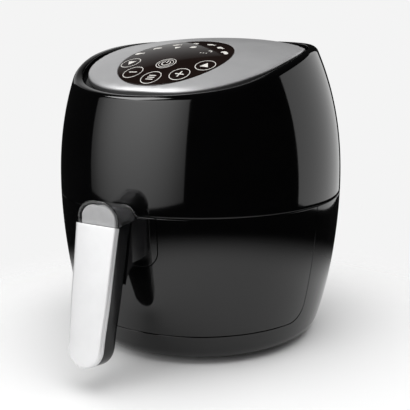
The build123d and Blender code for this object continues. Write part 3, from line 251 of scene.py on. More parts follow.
def panel(name, mapper, loops, edge, depth, spacing, material, body, free=(), steps=4, back_edge=0.0):
    """Closed thick sheet over a mapped flat region: rounded outer edges, walls, inner face."""
    loops = [lp if (area(lp) > 0) == (i == 0) else lp[::-1] for i, lp in enumerate(loops)]
    offs = [offsets(lp, free if i == 0 else ()) for i, lp in enumerate(loops)]
    skin = [[(p[0] + edge * o[0], p[1] + edge * o[1]) for p, o in zip(lp, of)] for lp, of in zip(loops, offs)]
    pts, tri, rows = fill(skin, spacing)
    verts, vnorm = [], []
    for s, t in pts:
        verts.append(mapper(s, t, 0.0))
        vnorm.append(surface_normal(mapper, s, t))
    faces = [t for t in tri]
    fnorm = [[vnorm[v] for v in t] for t in tri]
    base = len(verts)
    for s, t in pts:
        verts.append(mapper(s, t, depth))
    for t in tri:
        faces.append(tuple(base + v for v in reversed(t)))
        fnorm.append([-vnorm[v] for v in reversed(t)])
    for li, (lp, of, row) in enumerate(zip(loops, offs, rows)):
        n = len(lp)
        fr = free if li == 0 else ()
        plan = []
        for k in range(1, steps + 1):
            f = math.pi / 2 * k / steps
            plan.append((edge * (1 - math.sin(f)), edge * (1 - math.cos(f)), f))
        if back_edge > 0:
            plan.append((0.0, depth - back_edge, math.pi / 2))
            for k in range(1, steps + 1):
                f = math.pi / 2 * k / steps
                plan.append((back_edge * (1 - math.cos(f)) if k < steps else edge, depth - back_edge * (1 - math.sin(f)), math.pi / 2 + f))
            plan.pop()
        else:
            plan.append((0.0, depth, math.pi / 2))
        prev, pn = row, [vnorm[v] for v in row]
        outn = []
        for (x, y), (ox, oy) in zip(lp, of):
            a = mapper(x, y, 0.0)
            b = mapper(x + 0.05 * ox, y + 0.05 * oy, 0.0)
            v = Vector((a[0] - b[0], a[1] - b[1], a[2] - b[2]))
            outn.append(v.normalized() if v.length > 1e-9 else Vector((0, 0, 1)))
        for o_, d_, f in plan:
            cur, cn = [], []
            for i, ((x, y), (ox, oy)) in enumerate(zip(lp, of)):
                cur.append(len(verts))
                verts.append(mapper(x + o_ * ox, y + o_ * oy, d_))
                cn.append((vnorm[row[i]] * math.cos(f) + outn[i] * math.sin(f)).normalized())
            for i in range(n):
                if i in fr:
                    continue
                j = (i + 1) % n
                faces.append((prev[j], prev[i], cur[i], cur[j]))
                fnorm.append([pn[j], pn[i], cn[i], cn[j]])
            prev, pn = cur, cn
        inner = [base + v for v in row]
        for i in range(n):
            if i in fr:
                continue
            j = (i + 1) % n
            faces.append((prev[j], prev[i], inner[i], inner[j]))
            fnorm.append([-vnorm[row[j]], -vnorm[row[i]], -vnorm[row[i]], -vnorm[row[j]]])
    used = sorted({v for f in faces for v in f})
    remap = {v: i for i, v in enumerate(used)}
    verts = [verts[v] for v in used]
    faces = [tuple(remap[v] for v in f) for f in faces]
    o = new_object(name, verts, faces, material, body, fnorm)
    return o


def weld(o, dist=0.01):
    """Joins coincident points along a cut line."""
    bm = bmesh.new()
    bm.from_mesh(o.data)
    bmesh.ops.remove_doubles(bm, verts=bm.verts, dist=dist * MM)
    bm.to_mesh(o.data)
    bm.free()
    o.data.update()
    return o


def slab(name, mapper, loop, depth, front, back, spacing, material, body, steps=6, clip=None, smooth_angle=40):
    """Closed solid: an outline swept by depth, with rounded front and back edges."""
    loop = loop if area(loop) > 0 else loop[::-1]
    of = offsets(loop, ())
    n = len(loop)
    plan = []
    for k in range(steps + 1):
        f = math.pi / 2 * k / steps
        plan.append((front * (1 - math.sin(f)), front * (1 - math.cos(f))))
    for k in range(steps + 1):
        f = math.pi / 2 * k / steps
        plan.append((back * (1 - math.cos(f)), depth - back * (1 - math.sin(f))))
    verts, faces = [], []
    first = [(p[0] + plan[0][0] * o[0], p[1] + plan[0][0] * o[1]) for p, o in zip(loop, of)]
    pts, tri, rows = fill([first], spacing)
    verts += [mapper(s, t, plan[0][1]) for s, t in pts]
    faces += list(tri)
    prev = rows[0]
    for o_, d_ in plan[1:]:
        cur = []
        for (x, y), (ox, oy) in zip(loop, of):
            cur.append(len(verts))
            verts.append(mapper(x + o_ * ox, y + o_ * oy, d_))
        for i in range(n):
            j = (i + 1) % n
            faces.append((prev[j], prev[i], cur[i], cur[j]))
        prev = cur
    last = [(p[0] + plan[-1][0] * o[0], p[1] + plan[-1][0] * o[1]) for p, o in zip(loop, of)]
    pts, tri, rows = fill([last], spacing)
    s0 = len(verts)
    m = {v: prev[i] for i, v in enumerate(rows[0])}
    for i, (s, t) in enumerate(pts):
        if i not in m:
            m[i] = len(verts)
            verts.append(mapper(s, t, plan[-1][1]))
    faces += [tuple(m[v] for v in reversed(t)) for t in tri]
    o = new_object(name, verts, faces, material, body)
    if clip is not None:
        for point, normal in clip:
            clip_mesh(o, point, normal)
    sharpen(o, smooth_angle)
    return o


def clip_mesh(o, point, normal):
    """Cuts a closed mesh by a plane, keeps the side that the normal points away from, and closes it."""
    bm = bmesh.new()
    bm.from_mesh(o.data)
    bmesh.ops.remove_doubles(bm, verts=bm.verts, dist=1e-7)
    r = bmesh.ops.bisect_plane(bm, geom=bm.verts[:] + bm.edges[:] + bm.faces[:], dist=1e-7,
                               plane_co=Vector(((point[0]) * MM, (point[1] + AXIS_Y) * MM, point[2] * MM)), plane_no=Vector(normal),
                               clear_outer=True, clear_inner=False)
    edges = [g for g in r["geom_cut"] if isinstance(g, bmesh.types.BMEdge)]
    bmesh.ops.triangle_fill(bm, use_beauty=True, use_dissolve=False, edges=edges)
    bmesh.ops.recalc_face_normals(bm, faces=bm.faces)
    bm.to_mesh(o.data)
    bm.free()
    o.data.update()


def sharpen(o, angle=35):
    me = o.data
    me.polygons.foreach_set("use_smooth", [True] * len(me.polygons))
    me.set_sharp_from_angle(angle=math.radians(angle))


def apply_modifiers(o):
    dg = bpy.context.evaluated_depsgraph_get()
    me = bpy.data.meshes.new_from_object(o.evaluated_get(dg), preserve_all_data_layers=True, depsgraph=dg)
    o.modifiers.clear()
    o.data = me
    return o


def boolean(o, cutter, op="DIFFERENCE"):
    m = o.modifiers.new("cut", "BOOLEAN")
    m.operation = op
    m.solver = "EXACT"
    m.object = cutter
    bpy.context.view_layer.update()
    apply_modifiers(o)
    bpy.data.objects.remove(cutter)
    return o


def tube(name, paths, radius, material, body, sides=10, closed=False):
    """Round rods along point lists."""
    verts, faces = [], []
    for path in paths:
        n = len(path)
        ps = [Vector(p) for p in path]
        base = len(verts)
        up = Vector((0, 0, 1))
        for i, p in enumerate(ps):
            a = ps[(i - 1) % n] if closed or i else ps[i]
            b = ps[(i + 1) % n] if closed or i < n - 1 else ps[i]
            t = (b - a).normalized()
            u = t.cross(up)
            u = u.normalized() if u.length > 1e-3 else t.cross(Vector((0, 1, 0))).normalized()
            w = u.cross(t).normalized()
            for k in range(sides):
                f = 2 * math.pi * k / sides
                q = p + radius * (math.cos(f) * u + math.sin(f) * w)
                verts.append(tuple(q))
        for i in range(n if closed else n - 1):
            j = (i + 1) % n
            for k in range(sides):
                l = (k + 1) % sides
                faces.append((base + i * sides + k, base + i * sides + l, base + j * sides + l, base + j * sides + k))
        if not closed:
            faces.append(tuple(base + k for k in reversed(range(sides))))
            faces.append(tuple(base + (n - 1) * sides + k for k in range(sides)))
    o = new_object(name, verts, faces, material, body)
    sharpen(o, 50)
    return o


# ---------------------------------------------------------------------------
# materials
# ---------------------------------------------------------------------------
def link(nt, a, b):
    nt.links.new(a, b)


def material(name, base, rough, metallic=0.0, vary=0.12, rough_vary=0.04, scale=45.0, bump=0.0, bump_scale=900.0,
             stretch=(1, 1, 1), edge_highlight=0.0, edge_highlight_color=None, coat=0.0, coat_rough=0.05, ior=1.5, spec=0.5, speck=0.0, speck_color=(0.3, 0.3, 0.3),
             transmission=0.0, bump_dist=0.00005, alpha=1.0):
    m = bpy.data.materials.new(name)
    m.use_nodes = True
    nt = m.node_tree
    b = nt.nodes["Principled BSDF"]
    tc = nt.nodes.new("ShaderNodeTexCoord")
    mp = nt.nodes.new("ShaderNodeMapping")
    mp.inputs["Scale"].default_value = stretch
    link(nt, tc.outputs["Object"], mp.inputs["Vector"])
    n1 = nt.nodes.new("ShaderNodeTexNoise")
    n1.inputs["Scale"].default_value = scale
    n1.inputs["Detail"].default_value = 5.0
    link(nt, mp.outputs["Vector"], n1.inputs["Vector"])
    ramp = nt.nodes.new("ShaderNodeValToRGB")
    ramp.color_ramp.elements[0].position = 0.3
    ramp.color_ramp.elements[1].position = 0.7
    ramp.color_ramp.elements[0].color = tuple(c * (1 - vary) for c in base) + (1,)
    ramp.color_ramp.elements[1].color = tuple(min(1.0, c * (1 + vary)) for c in base) + (1,)
    link(nt, n1.outputs["Fac"], ramp.inputs["Fac"])
    color = ramp.outputs["Color"]
    if speck > 0:
        v = nt.nodes.new("ShaderNodeTexVoronoi")
        v.inputs["Scale"].default_value = 700.0
        link(nt, tc.outputs["Object"], v.inputs["Vector"])
        sr = nt.nodes.new("ShaderNodeValToRGB")
        sr.color_ramp.elements[0].position = speck * 0.6
        sr.color_ramp.elements[0].color = (1, 1, 1, 1)
        sr.color_ramp.elements[1].position = speck
        sr.color_ramp.elements[1].color = (0, 0, 0, 1)
        link(nt, v.outputs["Distance"], sr.inputs["Fac"])
        mx = nt.nodes.new("ShaderNodeMix")
        mx.data_type = "RGBA"
        link(nt, sr.outputs["Color"], mx.inputs["Factor"])
        link(nt, color, mx.inputs["A"])
        mx.inputs["B"].default_value = tuple(speck_color) + (1,)
        color = mx.outputs["Result"]
    # painted edge highlight: colour lightened on sharp convex edges (Pointiness), standing in for the highlights along
    # the edges
    if edge_highlight > 0:
        g = nt.nodes.new("ShaderNodeNewGeometry")
        highlight_ramp = nt.nodes.new("ShaderNodeValToRGB")
        highlight_ramp.color_ramp.elements[0].position = 0.52
        highlight_ramp.color_ramp.elements[0].color = (0, 0, 0, 1)
        highlight_ramp.color_ramp.elements[1].position = 0.62
        highlight_ramp.color_ramp.elements[1].color = (edge_highlight, edge_highlight, edge_highlight, 1)
        link(nt, g.outputs["Pointiness"], highlight_ramp.inputs["Fac"])
        mx = nt.nodes.new("ShaderNodeMix")
        mx.data_type = "RGBA"
        link(nt, highlight_ramp.outputs["Color"], mx.inputs["Factor"])
        link(nt, color, mx.inputs["A"])
        mx.inputs["B"].default_value = tuple(edge_highlight_color or [min(1.0, c * 1.8 + 0.02) for c in base]) + (1,)
        color = mx.outputs["Result"]
    link(nt, color, b.inputs["Base Color"])
    mr = nt.nodes.new("ShaderNodeMapRange")
    mr.inputs["From Min"].default_value = 0.3
    mr.inputs["From Max"].default_value = 0.7
    mr.inputs["To Min"].default_value = max(0.0, rough - rough_vary)
    mr.inputs["To Max"].default_value = min(1.0, rough + rough_vary)
    n2 = nt.nodes.new("ShaderNodeTexNoise")
    n2.inputs["Scale"].default_value = scale * 0.6
    n2.inputs["Detail"].default_value = 3.0
    link(nt, mp.outputs["Vector"], n2.inputs["Vector"])
    link(nt, n2.outputs["Fac"], mr.inputs["Value"])
    link(nt, mr.outputs["Result"], b.inputs["Roughness"])
    if bump > 0:
        n3 = nt.nodes.new("ShaderNodeTexNoise")
        n3.inputs["Scale"].default_value = bump_scale
        n3.inputs["Detail"].default_value = 2.0
        link(nt, mp.outputs["Vector"], n3.inputs["Vector"])
        bp = nt.nodes.new("ShaderNodeBump")
        bp.inputs["Strength"].default_value = bump
        bp.inputs["Distance"].default_value = bump_dist
        link(nt, n3.outputs["Fac"], bp.inputs["Height"])
        link(nt, bp.outputs["Normal"], b.inputs["Normal"])
    b.inputs["Metallic"].default_value = metallic
    b.inputs["IOR"].default_value = ior
    b.inputs["Specular IOR Level"].default_value = spec
    b.inputs["Coat Weight"].default_value = coat
    b.inputs["Coat Roughness"].default_value = coat_rough
    b.inputs["Transmission Weight"].default_value = transmission
    b.inputs["Alpha"].default_value = alpha
    return m


MATS = {
    "shell_gloss_black": material("shell_gloss_black", (0.0012, 0.0012, 0.0013), 0.06, vary=0.25, rough_vary=0.015, scale=22, ior=1.5,
                                  bump=0.05, bump_scale=260, bump_dist=0.00002),
    "ledge_black": material("ledge_black", (0.004, 0.004, 0.0044), 0.16, vary=0.2, rough_vary=0.03, scale=30, bump=0.1, bump_scale=900),
    "plate_silver": material("plate_silver", (0.40, 0.40, 0.405), 0.33, metallic=0.35, vary=0.03, rough_vary=0.03, scale=60,
                             bump=0.12, bump_scale=2600, bump_dist=0.00003),
    "lens_dark": material("lens_dark", (0.010, 0.006, 0.005), 0.06, vary=0.2, rough_vary=0.015, scale=40),
    "marks_white": material("marks_white", (0.62, 0.60, 0.57), 0.5, vary=0.06, rough_vary=0.05, scale=300),
    "board_green": material("board_green", (0.015, 0.12, 0.045), 0.4, vary=0.3, scale=220, speck=0.12, speck_color=(0.55, 0.5, 0.35)),
    # grip: painted edge highlight, lighter colour on its convex edges
    "grip_black": material("grip_black", (0.004, 0.004, 0.0045), 0.16, vary=0.2, rough_vary=0.03, scale=60, bump=0.15, bump_scale=1400, edge_highlight=0.12, spec=0.38),
    "trim_silver": material("trim_silver", (0.72, 0.72, 0.725), 0.36, metallic=0.4, vary=0.02, rough_vary=0.03, scale=80,
                            bump=0.06, bump_scale=1800, bump_dist=0.00002, coat=0.3, coat_rough=0.08),
    "button_grey": material("button_grey", (0.42, 0.42, 0.425), 0.4, vary=0.06, rough_vary=0.04, scale=120, bump=0.15, bump_scale=1600),
    "base_black": material("base_black", (0.012, 0.012, 0.013), 0.45, vary=0.2, rough_vary=0.06, scale=90, bump=0.35, bump_scale=1500),
    "rubber": material("rubber", (0.02, 0.02, 0.021), 0.75, vary=0.2, rough_vary=0.08, scale=160, bump=0.5, bump_scale=1800),
    "screw_steel": material("screw_steel", (0.45, 0.45, 0.46), 0.3, metallic=1.0, vary=0.08, scale=200, bump=0.15, bump_scale=3000, stretch=(1, 1, 6)),
    "nonstick": material("nonstick", (0.026, 0.026, 0.028), 0.36, vary=0.15, rough_vary=0.05, scale=70, bump=0.35, bump_scale=1100,
                         speck=0.10, speck_color=(0.09, 0.09, 0.095), coat=0.2, coat_rough=0.2),
    "sheet_steel": material("sheet_steel", (0.55, 0.55, 0.56), 0.3, metallic=1.0, vary=0.08, rough_vary=0.06, scale=40, stretch=(1, 1, 14),
                            bump=0.12, bump_scale=500),
    "element_steel": material("element_steel", (0.24, 0.225, 0.21), 0.38, metallic=1.0, vary=0.25, rough_vary=0.08, scale=60, bump=0.3, bump_scale=900),
    "fan_aluminium": material("fan_aluminium", (0.66, 0.67, 0.68), 0.32, metallic=1.0, vary=0.06, rough_vary=0.06, scale=60, stretch=(1, 1, 8),
                              bump=0.12, bump_scale=800),
    "fan_plastic": material("fan_plastic", (0.72, 0.71, 0.67), 0.42, vary=0.15, scale=90, bump=0.2, bump_scale=1200),
    "ceramic_white": material("ceramic_white", (0.78, 0.76, 0.70), 0.35, vary=0.05, scale=200, bump=0.2, bump_scale=1500, coat=0.3),
    "motor_steel": material("motor_steel", (0.34, 0.34, 0.35), 0.36, metallic=1.0, vary=0.12, rough_vary=0.06, scale=50, stretch=(1, 1, 10),
                            bump=0.15, bump_scale=700),
}
MATS["guard_smoke"] = material("guard_smoke", (0.47, 0.47, 0.48), 0.03, vary=0.03, rough_vary=0.01, scale=40, transmission=1.0, ior=1.49)

SLOT_OF = {row["node"]: row["material_slot"] for row in frame["record"]["subparts"]}
for name, o in nodes.items():
    me = o.data
    mat = MATS.get(SLOT_OF.get(name), MATS["base_black"])
    me.materials.clear()
    me.materials.append(mat)
    me.polygons.foreach_set("use_smooth", [True] * len(me.polygons))

# ---------------------------------------------------------------------------
# surfaces that pieces are laid on
# ---------------------------------------------------------------------------


def body_profile(v):
    """(radius, height, normal) of the body against height; wraps under below 15 mm."""
    if v >= 15.0:
        r = rad(v)
        k = drad(v)
        l = math.hypot(1, k)
        return r, v, 1 / l, -k / l
    # arc from (rad(15), 15) through (118.4, 8.3) to (111.5, 5)
    f = max(v, 5.0)
    t = (15.0 - f) / 10.0
    a0, a1 = FOOT["a0"], FOOT["a1"]
    a = a0 + (a1 - a0) * t
    r, z = FOOT["cx"] + FOOT["r"] * math.cos(a), FOOT["cy"] + FOOT["r"] * math.sin(a)
    nr, nz = math.cos(a), math.sin(a)
    if v < 5.0:
        return 111.5 - (5.0 - v), 5.0, 0.0, -1.0
    return r, z, nr, nz


def three_point_circle(p, q, r):
    ax, ay, bx, by, cx, cy = *p, *q, *r
    d = 2 * (ax * (by - cy) + bx * (cy - ay) + cx * (ay - by))
    ux = ((ax * ax + ay * ay) * (by - cy) + (bx * bx + by * by) * (cy - ay) + (cx * cx + cy * cy) * (ay - by)) / d
    uy = ((ax * ax + ay * ay) * (cx - bx) + (bx * bx + by * by) * (ax - cx) + (cx * cx + cy * cy) * (bx - ax)) / d
    return ux, uy, math.hypot(ax - ux, ay - uy)


_cx, _cy, _cr = three_point_circle((rad(15.0), 15.0), (118.4, 8.3), (111.5, 5.0))
FOOT = {"cx": _cx, "cy": _cy, "r": _cr, "a0": math.atan2(15.0 - _cy, rad(15.0) - _cx), "a1": math.atan2(5.0 - _cy, 111.5 - _cx)}


def on_body(s, v, d):
    r, z, nr, nz = body_profile(v)
    a = s / R0
    q = r - d * nr
    return (q * math.sin(a), -q * math.cos(a), z - d * nz)


def on_rear(s, v, d):
    x, y, z = on_body(s, v, d)
    return (-x, -y, z)


def on_dome(x, y, d):
    return (x, y, dome(x, y, 0.0) - d)


def edge_distance(loop):
    a = np.array(loop)
    b = np.roll(a, -1, axis=0)
    ab = b - a
    l2 = (ab ** 2).sum(1)

    def f(x, y):
        p = np.array((x, y))
        t = np.clip(((p - a) * ab).sum(1) / l2, 0, 1)
        q = a + ab * t[:, None] - p
        return float(np.sqrt((q ** 2).sum(1).min()))
    return f


# ---------------------------------------------------------------------------
# upper shell: turned skin up to the sloping rim, thick rounded rim, thin wall
# ---------------------------------------------------------------------------
def build_upper_shell():
    N = 432
    rows_out = 46
    verts, faces = [], []
    cols = []
    for i in range(N):
        a = 2 * math.pi * i / N
        # rim height where the rim curve meets the turned skin
        zr = 260.0
        for _ in range(30):
            zr = rim_z(rad(zr) * math.sin(a))
        col = []
        e = 0.5

        def at(r, z):
            col.append((r, z))
        at(rad(SEAM_HIGH) - 2.8, SEAM_HIGH)
        for k in range(4):
            f = math.pi / 2 * k / 3
            at(rad(SEAM_HIGH) - e + e * math.sin(f), SEAM_HIGH + e - e * math.cos(f))
        z0, z1 = SEAM_HIGH + e, zr - 4.5
        for k in range(1, rows_out):
            z = z0 + (z1 - z0) * k / rows_out
            at(rad(z), z)
        rc, zc = rad(z1) - 4.5, z1
        # tangent continuous crown over the outer edge of the rim
        t0 = math.atan2(-drad(z1), 1.0)
        for k in range(9):
            f = t0 + (math.pi / 2 - t0) * k / 8
            at(rc + 4.5 * math.cos(f) + (rad(z1) - rc - 4.5 * math.cos(t0)) * (1 - k / 8), zc + 4.5 * math.sin(f) - 4.5 * math.sin(t0) * (1 - k / 8))
        ztop = zr
        ri = rad(zr) - 8.0
        at(ri + 1.6, ztop)
        for k in range(5):
            f = math.pi / 2 * k / 4
            at(ri + 0.8 - 0.8 * math.sin(f), ztop - 0.8 + 0.8 * math.cos(f))
        at(ri, ztop - 7.0)
        at(rad(ztop - 15) - 8.0, ztop - 15.0)
        at(rad(ztop - 15) - 2.8, ztop - 15.6)
        for k in range(1, 16):
            z = (ztop - 15.6) + (SEAM_HIGH - (ztop - 15.6)) * k / 16
            at(rad(z) - 2.8, z)
        cols.append([(r * math.cos(a), r * math.sin(a), z) for r, z in col])
    m = len(cols[0])
    for c in cols:
        verts += c
    for i in range(N):
        j = (i + 1) % N
        for k in range(m):
            l = (k + 1) % m
            faces.append((i * m + k, j * m + k, j * m + l, i * m + l))
    o = new_object("upper_shell_skin", verts, faces, MATS["shell_gloss_black"], "housing")
    # opening for the air outlet at the rear
    cut = rounded_box(-40.3, 40.3, 159.7, 206.3, 6.3, 100.0, 150.0)
    boolean(o, cut)
    sharpen(o, 38)
    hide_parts("upper_shell")
    return o


def rounded_box(x0, x1, z0, z1, r, y0, y1):
    """Upright block with rounded corners in the front view, as a cutter."""
    lp = (arc(x1 - r, z0 + r, r, -90, 0, 8) + arc(x1 - r, z1 - r, r, 0, 90, 8)
          + arc(x0 + r, z1 - r, r, 90, 180, 8) + arc(x0 + r, z0 + r, r, 180, 270, 8))
    n = len(lp)
    verts = [(x, y0, z) for x, z in lp] + [(x, y1, z) for x, z in lp]
    faces = [tuple(range(n)), tuple(reversed(range(n, 2 * n)))]
    faces += [(j, i, n + i, n + j) for i in range(n) for j in [(i + 1) % n]]
    me = bpy.data.meshes.new("cutter")
    me.from_pydata([(x * MM, (y + AXIS_Y) * MM, z * MM) for x, y, z in verts], [], faces)
    bm = bmesh.new()
    bm.from_mesh(me)
    bmesh.ops.recalc_face_normals(bm, faces=bm.faces)
    bm.to_mesh(me)
    bm.free()
    o = bpy.data.objects.new("cutter", me)
    scene.collection.objects.link(o)
    return o


# ---------------------------------------------------------------------------
# drawer front: skin in front of the side seam, with the notch for the panel
# ---------------------------------------------------------------------------
def side_s(y, z):
    """Distance round the body, from the front, of the point at depth y (negative to the front)."""
    return R0 * math.acos(max(-1.0, min(1.0, -y / rad(z))))


def x_s(x, z):
    return R0 * math.asin(max(-1.0, min(1.0, x / rad(z))))


def half_notch(hw, low, r, top, n=10):
    """Right half of a U outline, from the bottom centre up to the top, in (s, z)."""
    pts = [(0.0, low)]
    for k in range(n + 1):
        f = math.radians(-90 + 90 * k / n)
        x, z = hw - r + r * math.cos(f), low + r + r * math.sin(f)
        pts.append((x_s(x, z), z))
    k = 12
    for i in range(1, k + 1):
        z = low + r + (top - low - r) * i / k
        pts.append((x_s(hw, z), z))
    return pts


def build_drawer_front():
    low, top, ys, R = 31.2, SEAM_LOW, -27.0, 16.0
    right = [(0.0, low)]
    for k in range(1, 60):
        s_end = side_s(ys - R, low)
        right.append((s_end * k / 60, low))
    for k in range(13):
        f = math.radians(-90 + 90 * k / 12)
        y, z = ys - R + R * math.cos(f), low + R + R * math.sin(f)
        right.append((side_s(y, z), z))
    for k in range(1, 31):
        z = low + R + (top - low - R) * k / 30
        right.append((side_s(ys, z), z))
    notch = half_notch(34.7, 97.0, 16.0, top)
    s0, s1 = right[-1][0], notch[-1][0]
    for k in range(1, 60):
        right.append((s0 + (s1 - s0) * k / 60, top))
    right += list(reversed(notch))
    left = [(-x, z) for x, z in reversed(right[1:-1])]
    loop = resample(right + left, 2.5)
    o = panel("drawer_front_skin", on_body, [loop], 0.6, 2.4, 4.0, MATS["shell_gloss_black"], "drawer")
    # bosses that carry the pan, behind the skin
    verts, faces = [], []
    for x, z in ((-30, 62), (30, 62), (-62, 88), (62, 88)):
        y_out = -math.sqrt((rad(z) - 2.2) ** 2 - x * x)
        y_in = -math.sqrt(108.4 ** 2 - x * x) - 0.3
        n, b = 28, len(verts)
        for y in (y_out, y_in + 0.8, y_in):
            rr = 4.4 if y == y_in else 5.0
            verts += [(x + rr * math.cos(2 * math.pi * i / n), y, z + rr * math.sin(2 * math.pi * i / n)) for i in range(n)]
        for q in range(2):
            for i in range(n):
                j = (i + 1) % n
                faces.append((b + q * n + i, b + q * n + j, b + (q + 1) * n + j, b + (q + 1) * n + i))
        faces.append(tuple(b + i for i in reversed(range(n))))
        faces.append(tuple(b + 2 * n + i for i in range(n)))
    bo = new_object("drawer_front_bosses", verts, faces, MATS["shell_gloss_black"], "drawer")
    fix_normals(bo)
    sharpen(bo, 30)
    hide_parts("drawer_front")


def fix_normals(o):
    bm = bmesh.new()
    bm.from_mesh(o.data)
    bmesh.ops.recalc_face_normals(bm, faces=bm.faces)
    bm.to_mesh(o.data)
    bm.free()


def build_handle_panel():
    right = half_notch(34.3, 97.4, 15.6, SEAM_LOW)
    left = [(-x, z) for x, z in reversed(right[1:])]
    loop = resample(right + left, 2.0)
    o = panel("handle_panel_skin", on_body, [loop], 0.5, 2.6, 3.0, MATS["shell_gloss_black"], "drawer")
    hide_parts("handle_panel")


# ---------------------------------------------------------------------------
# lower housing: rear and underside, with the drawer opening in front
# ---------------------------------------------------------------------------
def build_lower_housing():
    zs, ys, R, top = 30.6, -26.6, 16.0, SEAM_LOW
    full = math.pi * R0

    def rear(s):
        return full - s
    half = []       # from the front centre, along the opening's edge, to the rear
    s_end = side_s(ys - R, zs)
    for k in range(61):
        half.append((rear(s_end * k / 60), zs))
    for k in range(1, 13):
        f = math.radians(-90 + 90 * k / 12)
        y, z = ys - R + R * math.cos(f), zs + R + R * math.sin(f)
        half.append((rear(side_s(y, z)), z))
    for k in range(1, 31):
        z = zs + R + (top - zs - R) * k / 30
        half.append((rear(side_s(ys, z)), z))
    s0 = half[-1][0]
    for k in range(1, 70):
        half.append((s0 * (1 - k / 70), top))
    half.append((0.0, top))
    upper = half + [(-x, z) for x, z in reversed(half[:-1])]         # front cut -> rear -> front cut
    bottom = 2.5
    # close along the bottom edge and the two cut lines at the front
    cut_a = [(-full, zs + (bottom - zs) * k / 12) for k in range(1, 12)]
    low_edge = [(-full + 2 * full * k / 340, bottom) for k in range(341)]
    cut_b = [(full, bottom + (zs - bottom) * k / 12) for k in range(1, 12)]
    loop = upper + cut_a + low_edge + cut_b
    n_up, n_a, n_low = len(upper), len(cut_a), len(low_edge)
    free = set(range(n_up - 1, n_up + n_a)) | set(range(n_up + n_a + n_low - 1, len(loop)))
    if area(loop) < 0:
        n = len(loop)
        loop = loop[::-1]
        free = {(n - 2 - i) % n for i in free}
    gland = circle(0, 44.0, 7.0, 40)
    o = panel("lower_housing_skin", on_rear, [loop, gland], 0.6, 2.4, 4.0, MATS["shell_gloss_black"], "housing", free=free)
    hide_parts("lower_housing")
    # shelf and front frame of the drawer bay, behind the opening
    N = 240
    verts, faces = [], []
    # flat front frame beside the bay: from the bay wall out to the skin, just behind the side seam
    for sgn in (-1, 1):
        b = len(verts)
        zz = [48.0 + (top - 0.4 - 48.0) * k / 40 for k in range(41)]
        for z in zz:
            xo = math.sqrt((rad(z) - 2.2) ** 2 - 24.0 ** 2)
            for x, y in ((sgn * 113.8, -26.4), (sgn * xo, -26.4), (sgn * xo, -23.9), (sgn * 113.8, -23.9)):
                verts.append((x, y, z))
        for k in range(40):
            for q in range(4):
                r = (q + 1) % 4
                faces.append((b + 4 * k + q, b + 4 * k + r, b + 4 * (k + 1) + r, b + 4 * (k + 1) + q))
        faces.append((b, b + 1, b + 2, b + 3))
        faces.append((b + 163, b + 162, b + 161, b + 160))
    # shelf under the drawer
    a_max = math.acos(43.0 / (rad(zs) - 2.2))
    b = len(verts)
    for k in range(N + 1):
        a = -a_max + 2 * a_max * k / N
        r1 = rad(zs - 1.0) - 2.2
        r0 = 43.0 / max(math.cos(a), 1e-3) if 43.0 / max(math.cos(a), 1e-3) < r1 else r1
        r0 = min(max(r0, 43.0 / max(math.cos(a), 1e-3)), r1)
        for r, z in ((r0, zs), (r1, zs), (r1, zs - 2.2), (r0, zs - 2.2)):
            verts.append((r * math.sin(a), -r * math.cos(a), z))
    for k in range(N):
        for q in range(4):
            r = (q + 1) % 4
            faces.append((b + 4 * k + q, b + 4 * k + r, b + 4 * (k + 1) + r, b + 4 * (k + 1) + q))
    faces.append((b, b + 1, b + 2, b + 3))
    faces.append((b + 4 * N + 3, b + 4 * N + 2, b + 4 * N + 1, b + 4 * N))
    f = new_object("bay_frame", verts, faces, MATS["base_black"], "housing", smooth=False)
    weld(f)
    fix_normals(f)
    sharpen(f, 25)
    return o


# ---------------------------------------------------------------------------
# control surface
# ---------------------------------------------------------------------------
def catmull(points, n, closed=False):
    out = []
    m = len(points)
    for i in range(m if closed else m - 1):
        p0, p1, p2, p3 = (points[(i - 1) % m] if closed or i else points[0], points[i], points[(i + 1) % m],
                          points[(i + 2) % m] if closed or i + 2 < m else points[-1])
        for k in range(n):
            t = k / n
            out.append(tuple(0.5 * ((2 * b) + (-a + c) * t + (2 * a - 5 * b + 4 * c - d) * t * t + (-a + 3 * b - 3 * c + d) * t ** 3)
                             for a, b, c, d in zip(p0, p1, p2, p3)))
    if not closed:
        out.append(points[-1])
    return out


PLATE_HALF = [(0, -106.0), (36, -102.8), (57, -94.6), (75, -81.0), (88, -64.0), (97, -42.0), (100.5, -15.0), (99.5, 15.0), (93.5, 40.0)]


def plate_loop():
    # interpolating spline through the half outline by chord length, flat at the front centre
    pts = [(-x, y) for x, y in reversed(PLATE_HALF[1:])] + PLATE_HALF
    d = [0.0]
    for a, b in zip(pts, pts[1:]):
        d.append(d[-1] + math.hypot(b[0] - a[0], b[1] - a[1]))
    fx, fy = natural_spline(d, [p[0] for p in pts]), natural_spline(d, [p[1] for p in pts])
    n = 150
    front = [(fx(d[-1] * k / n), fy(d[-1] * k / n)) for k in range(n + 1)]
    cx, cy, r = three_point_circle((93.5, 40.0), (0, 70.0), (-93.5, 40.0))
    a0, a1 = math.atan2(40.0 - cy, 93.5 - cx), math.atan2(40.0 - cy, -93.5 - cx)
    back = [(cx + r * math.cos(a0 + (a1 - a0) * k / 90), cy + r * math.sin(a0 + (a1 - a0) * k / 90)) for k in range(1, 90)]
    return front + back


def round_corner(loop, idx, r, n=6):
    """Swaps a sharp corner of a loop for a small curve."""
    m = len(loop)
    p = loop[idx]

    def walk(step):
        i, left = idx, r
        while True:
            a, b = loop[i % m], loop[(i + step) % m]
            d = math.hypot(b[0] - a[0], b[1] - a[1])
            if d >= left:
                t = left / d
                return (a[0] + (b[0] - a[0]) * t, a[1] + (b[1] - a[1]) * t), i + step
            left -= d
            i += step
    (a, ia), (b, ib) = walk(-1), walk(1)
    curve = []
    for k in range(n + 1):
        t = k / n
        curve.append(tuple((1 - t) ** 2 * u + 2 * t * (1 - t) * v + t * t * w for u, v, w in zip(a, p, b)))
    keep = [loop[(ib + k) % m] for k in range((ia - ib) % m + 1)]
    return curve + keep


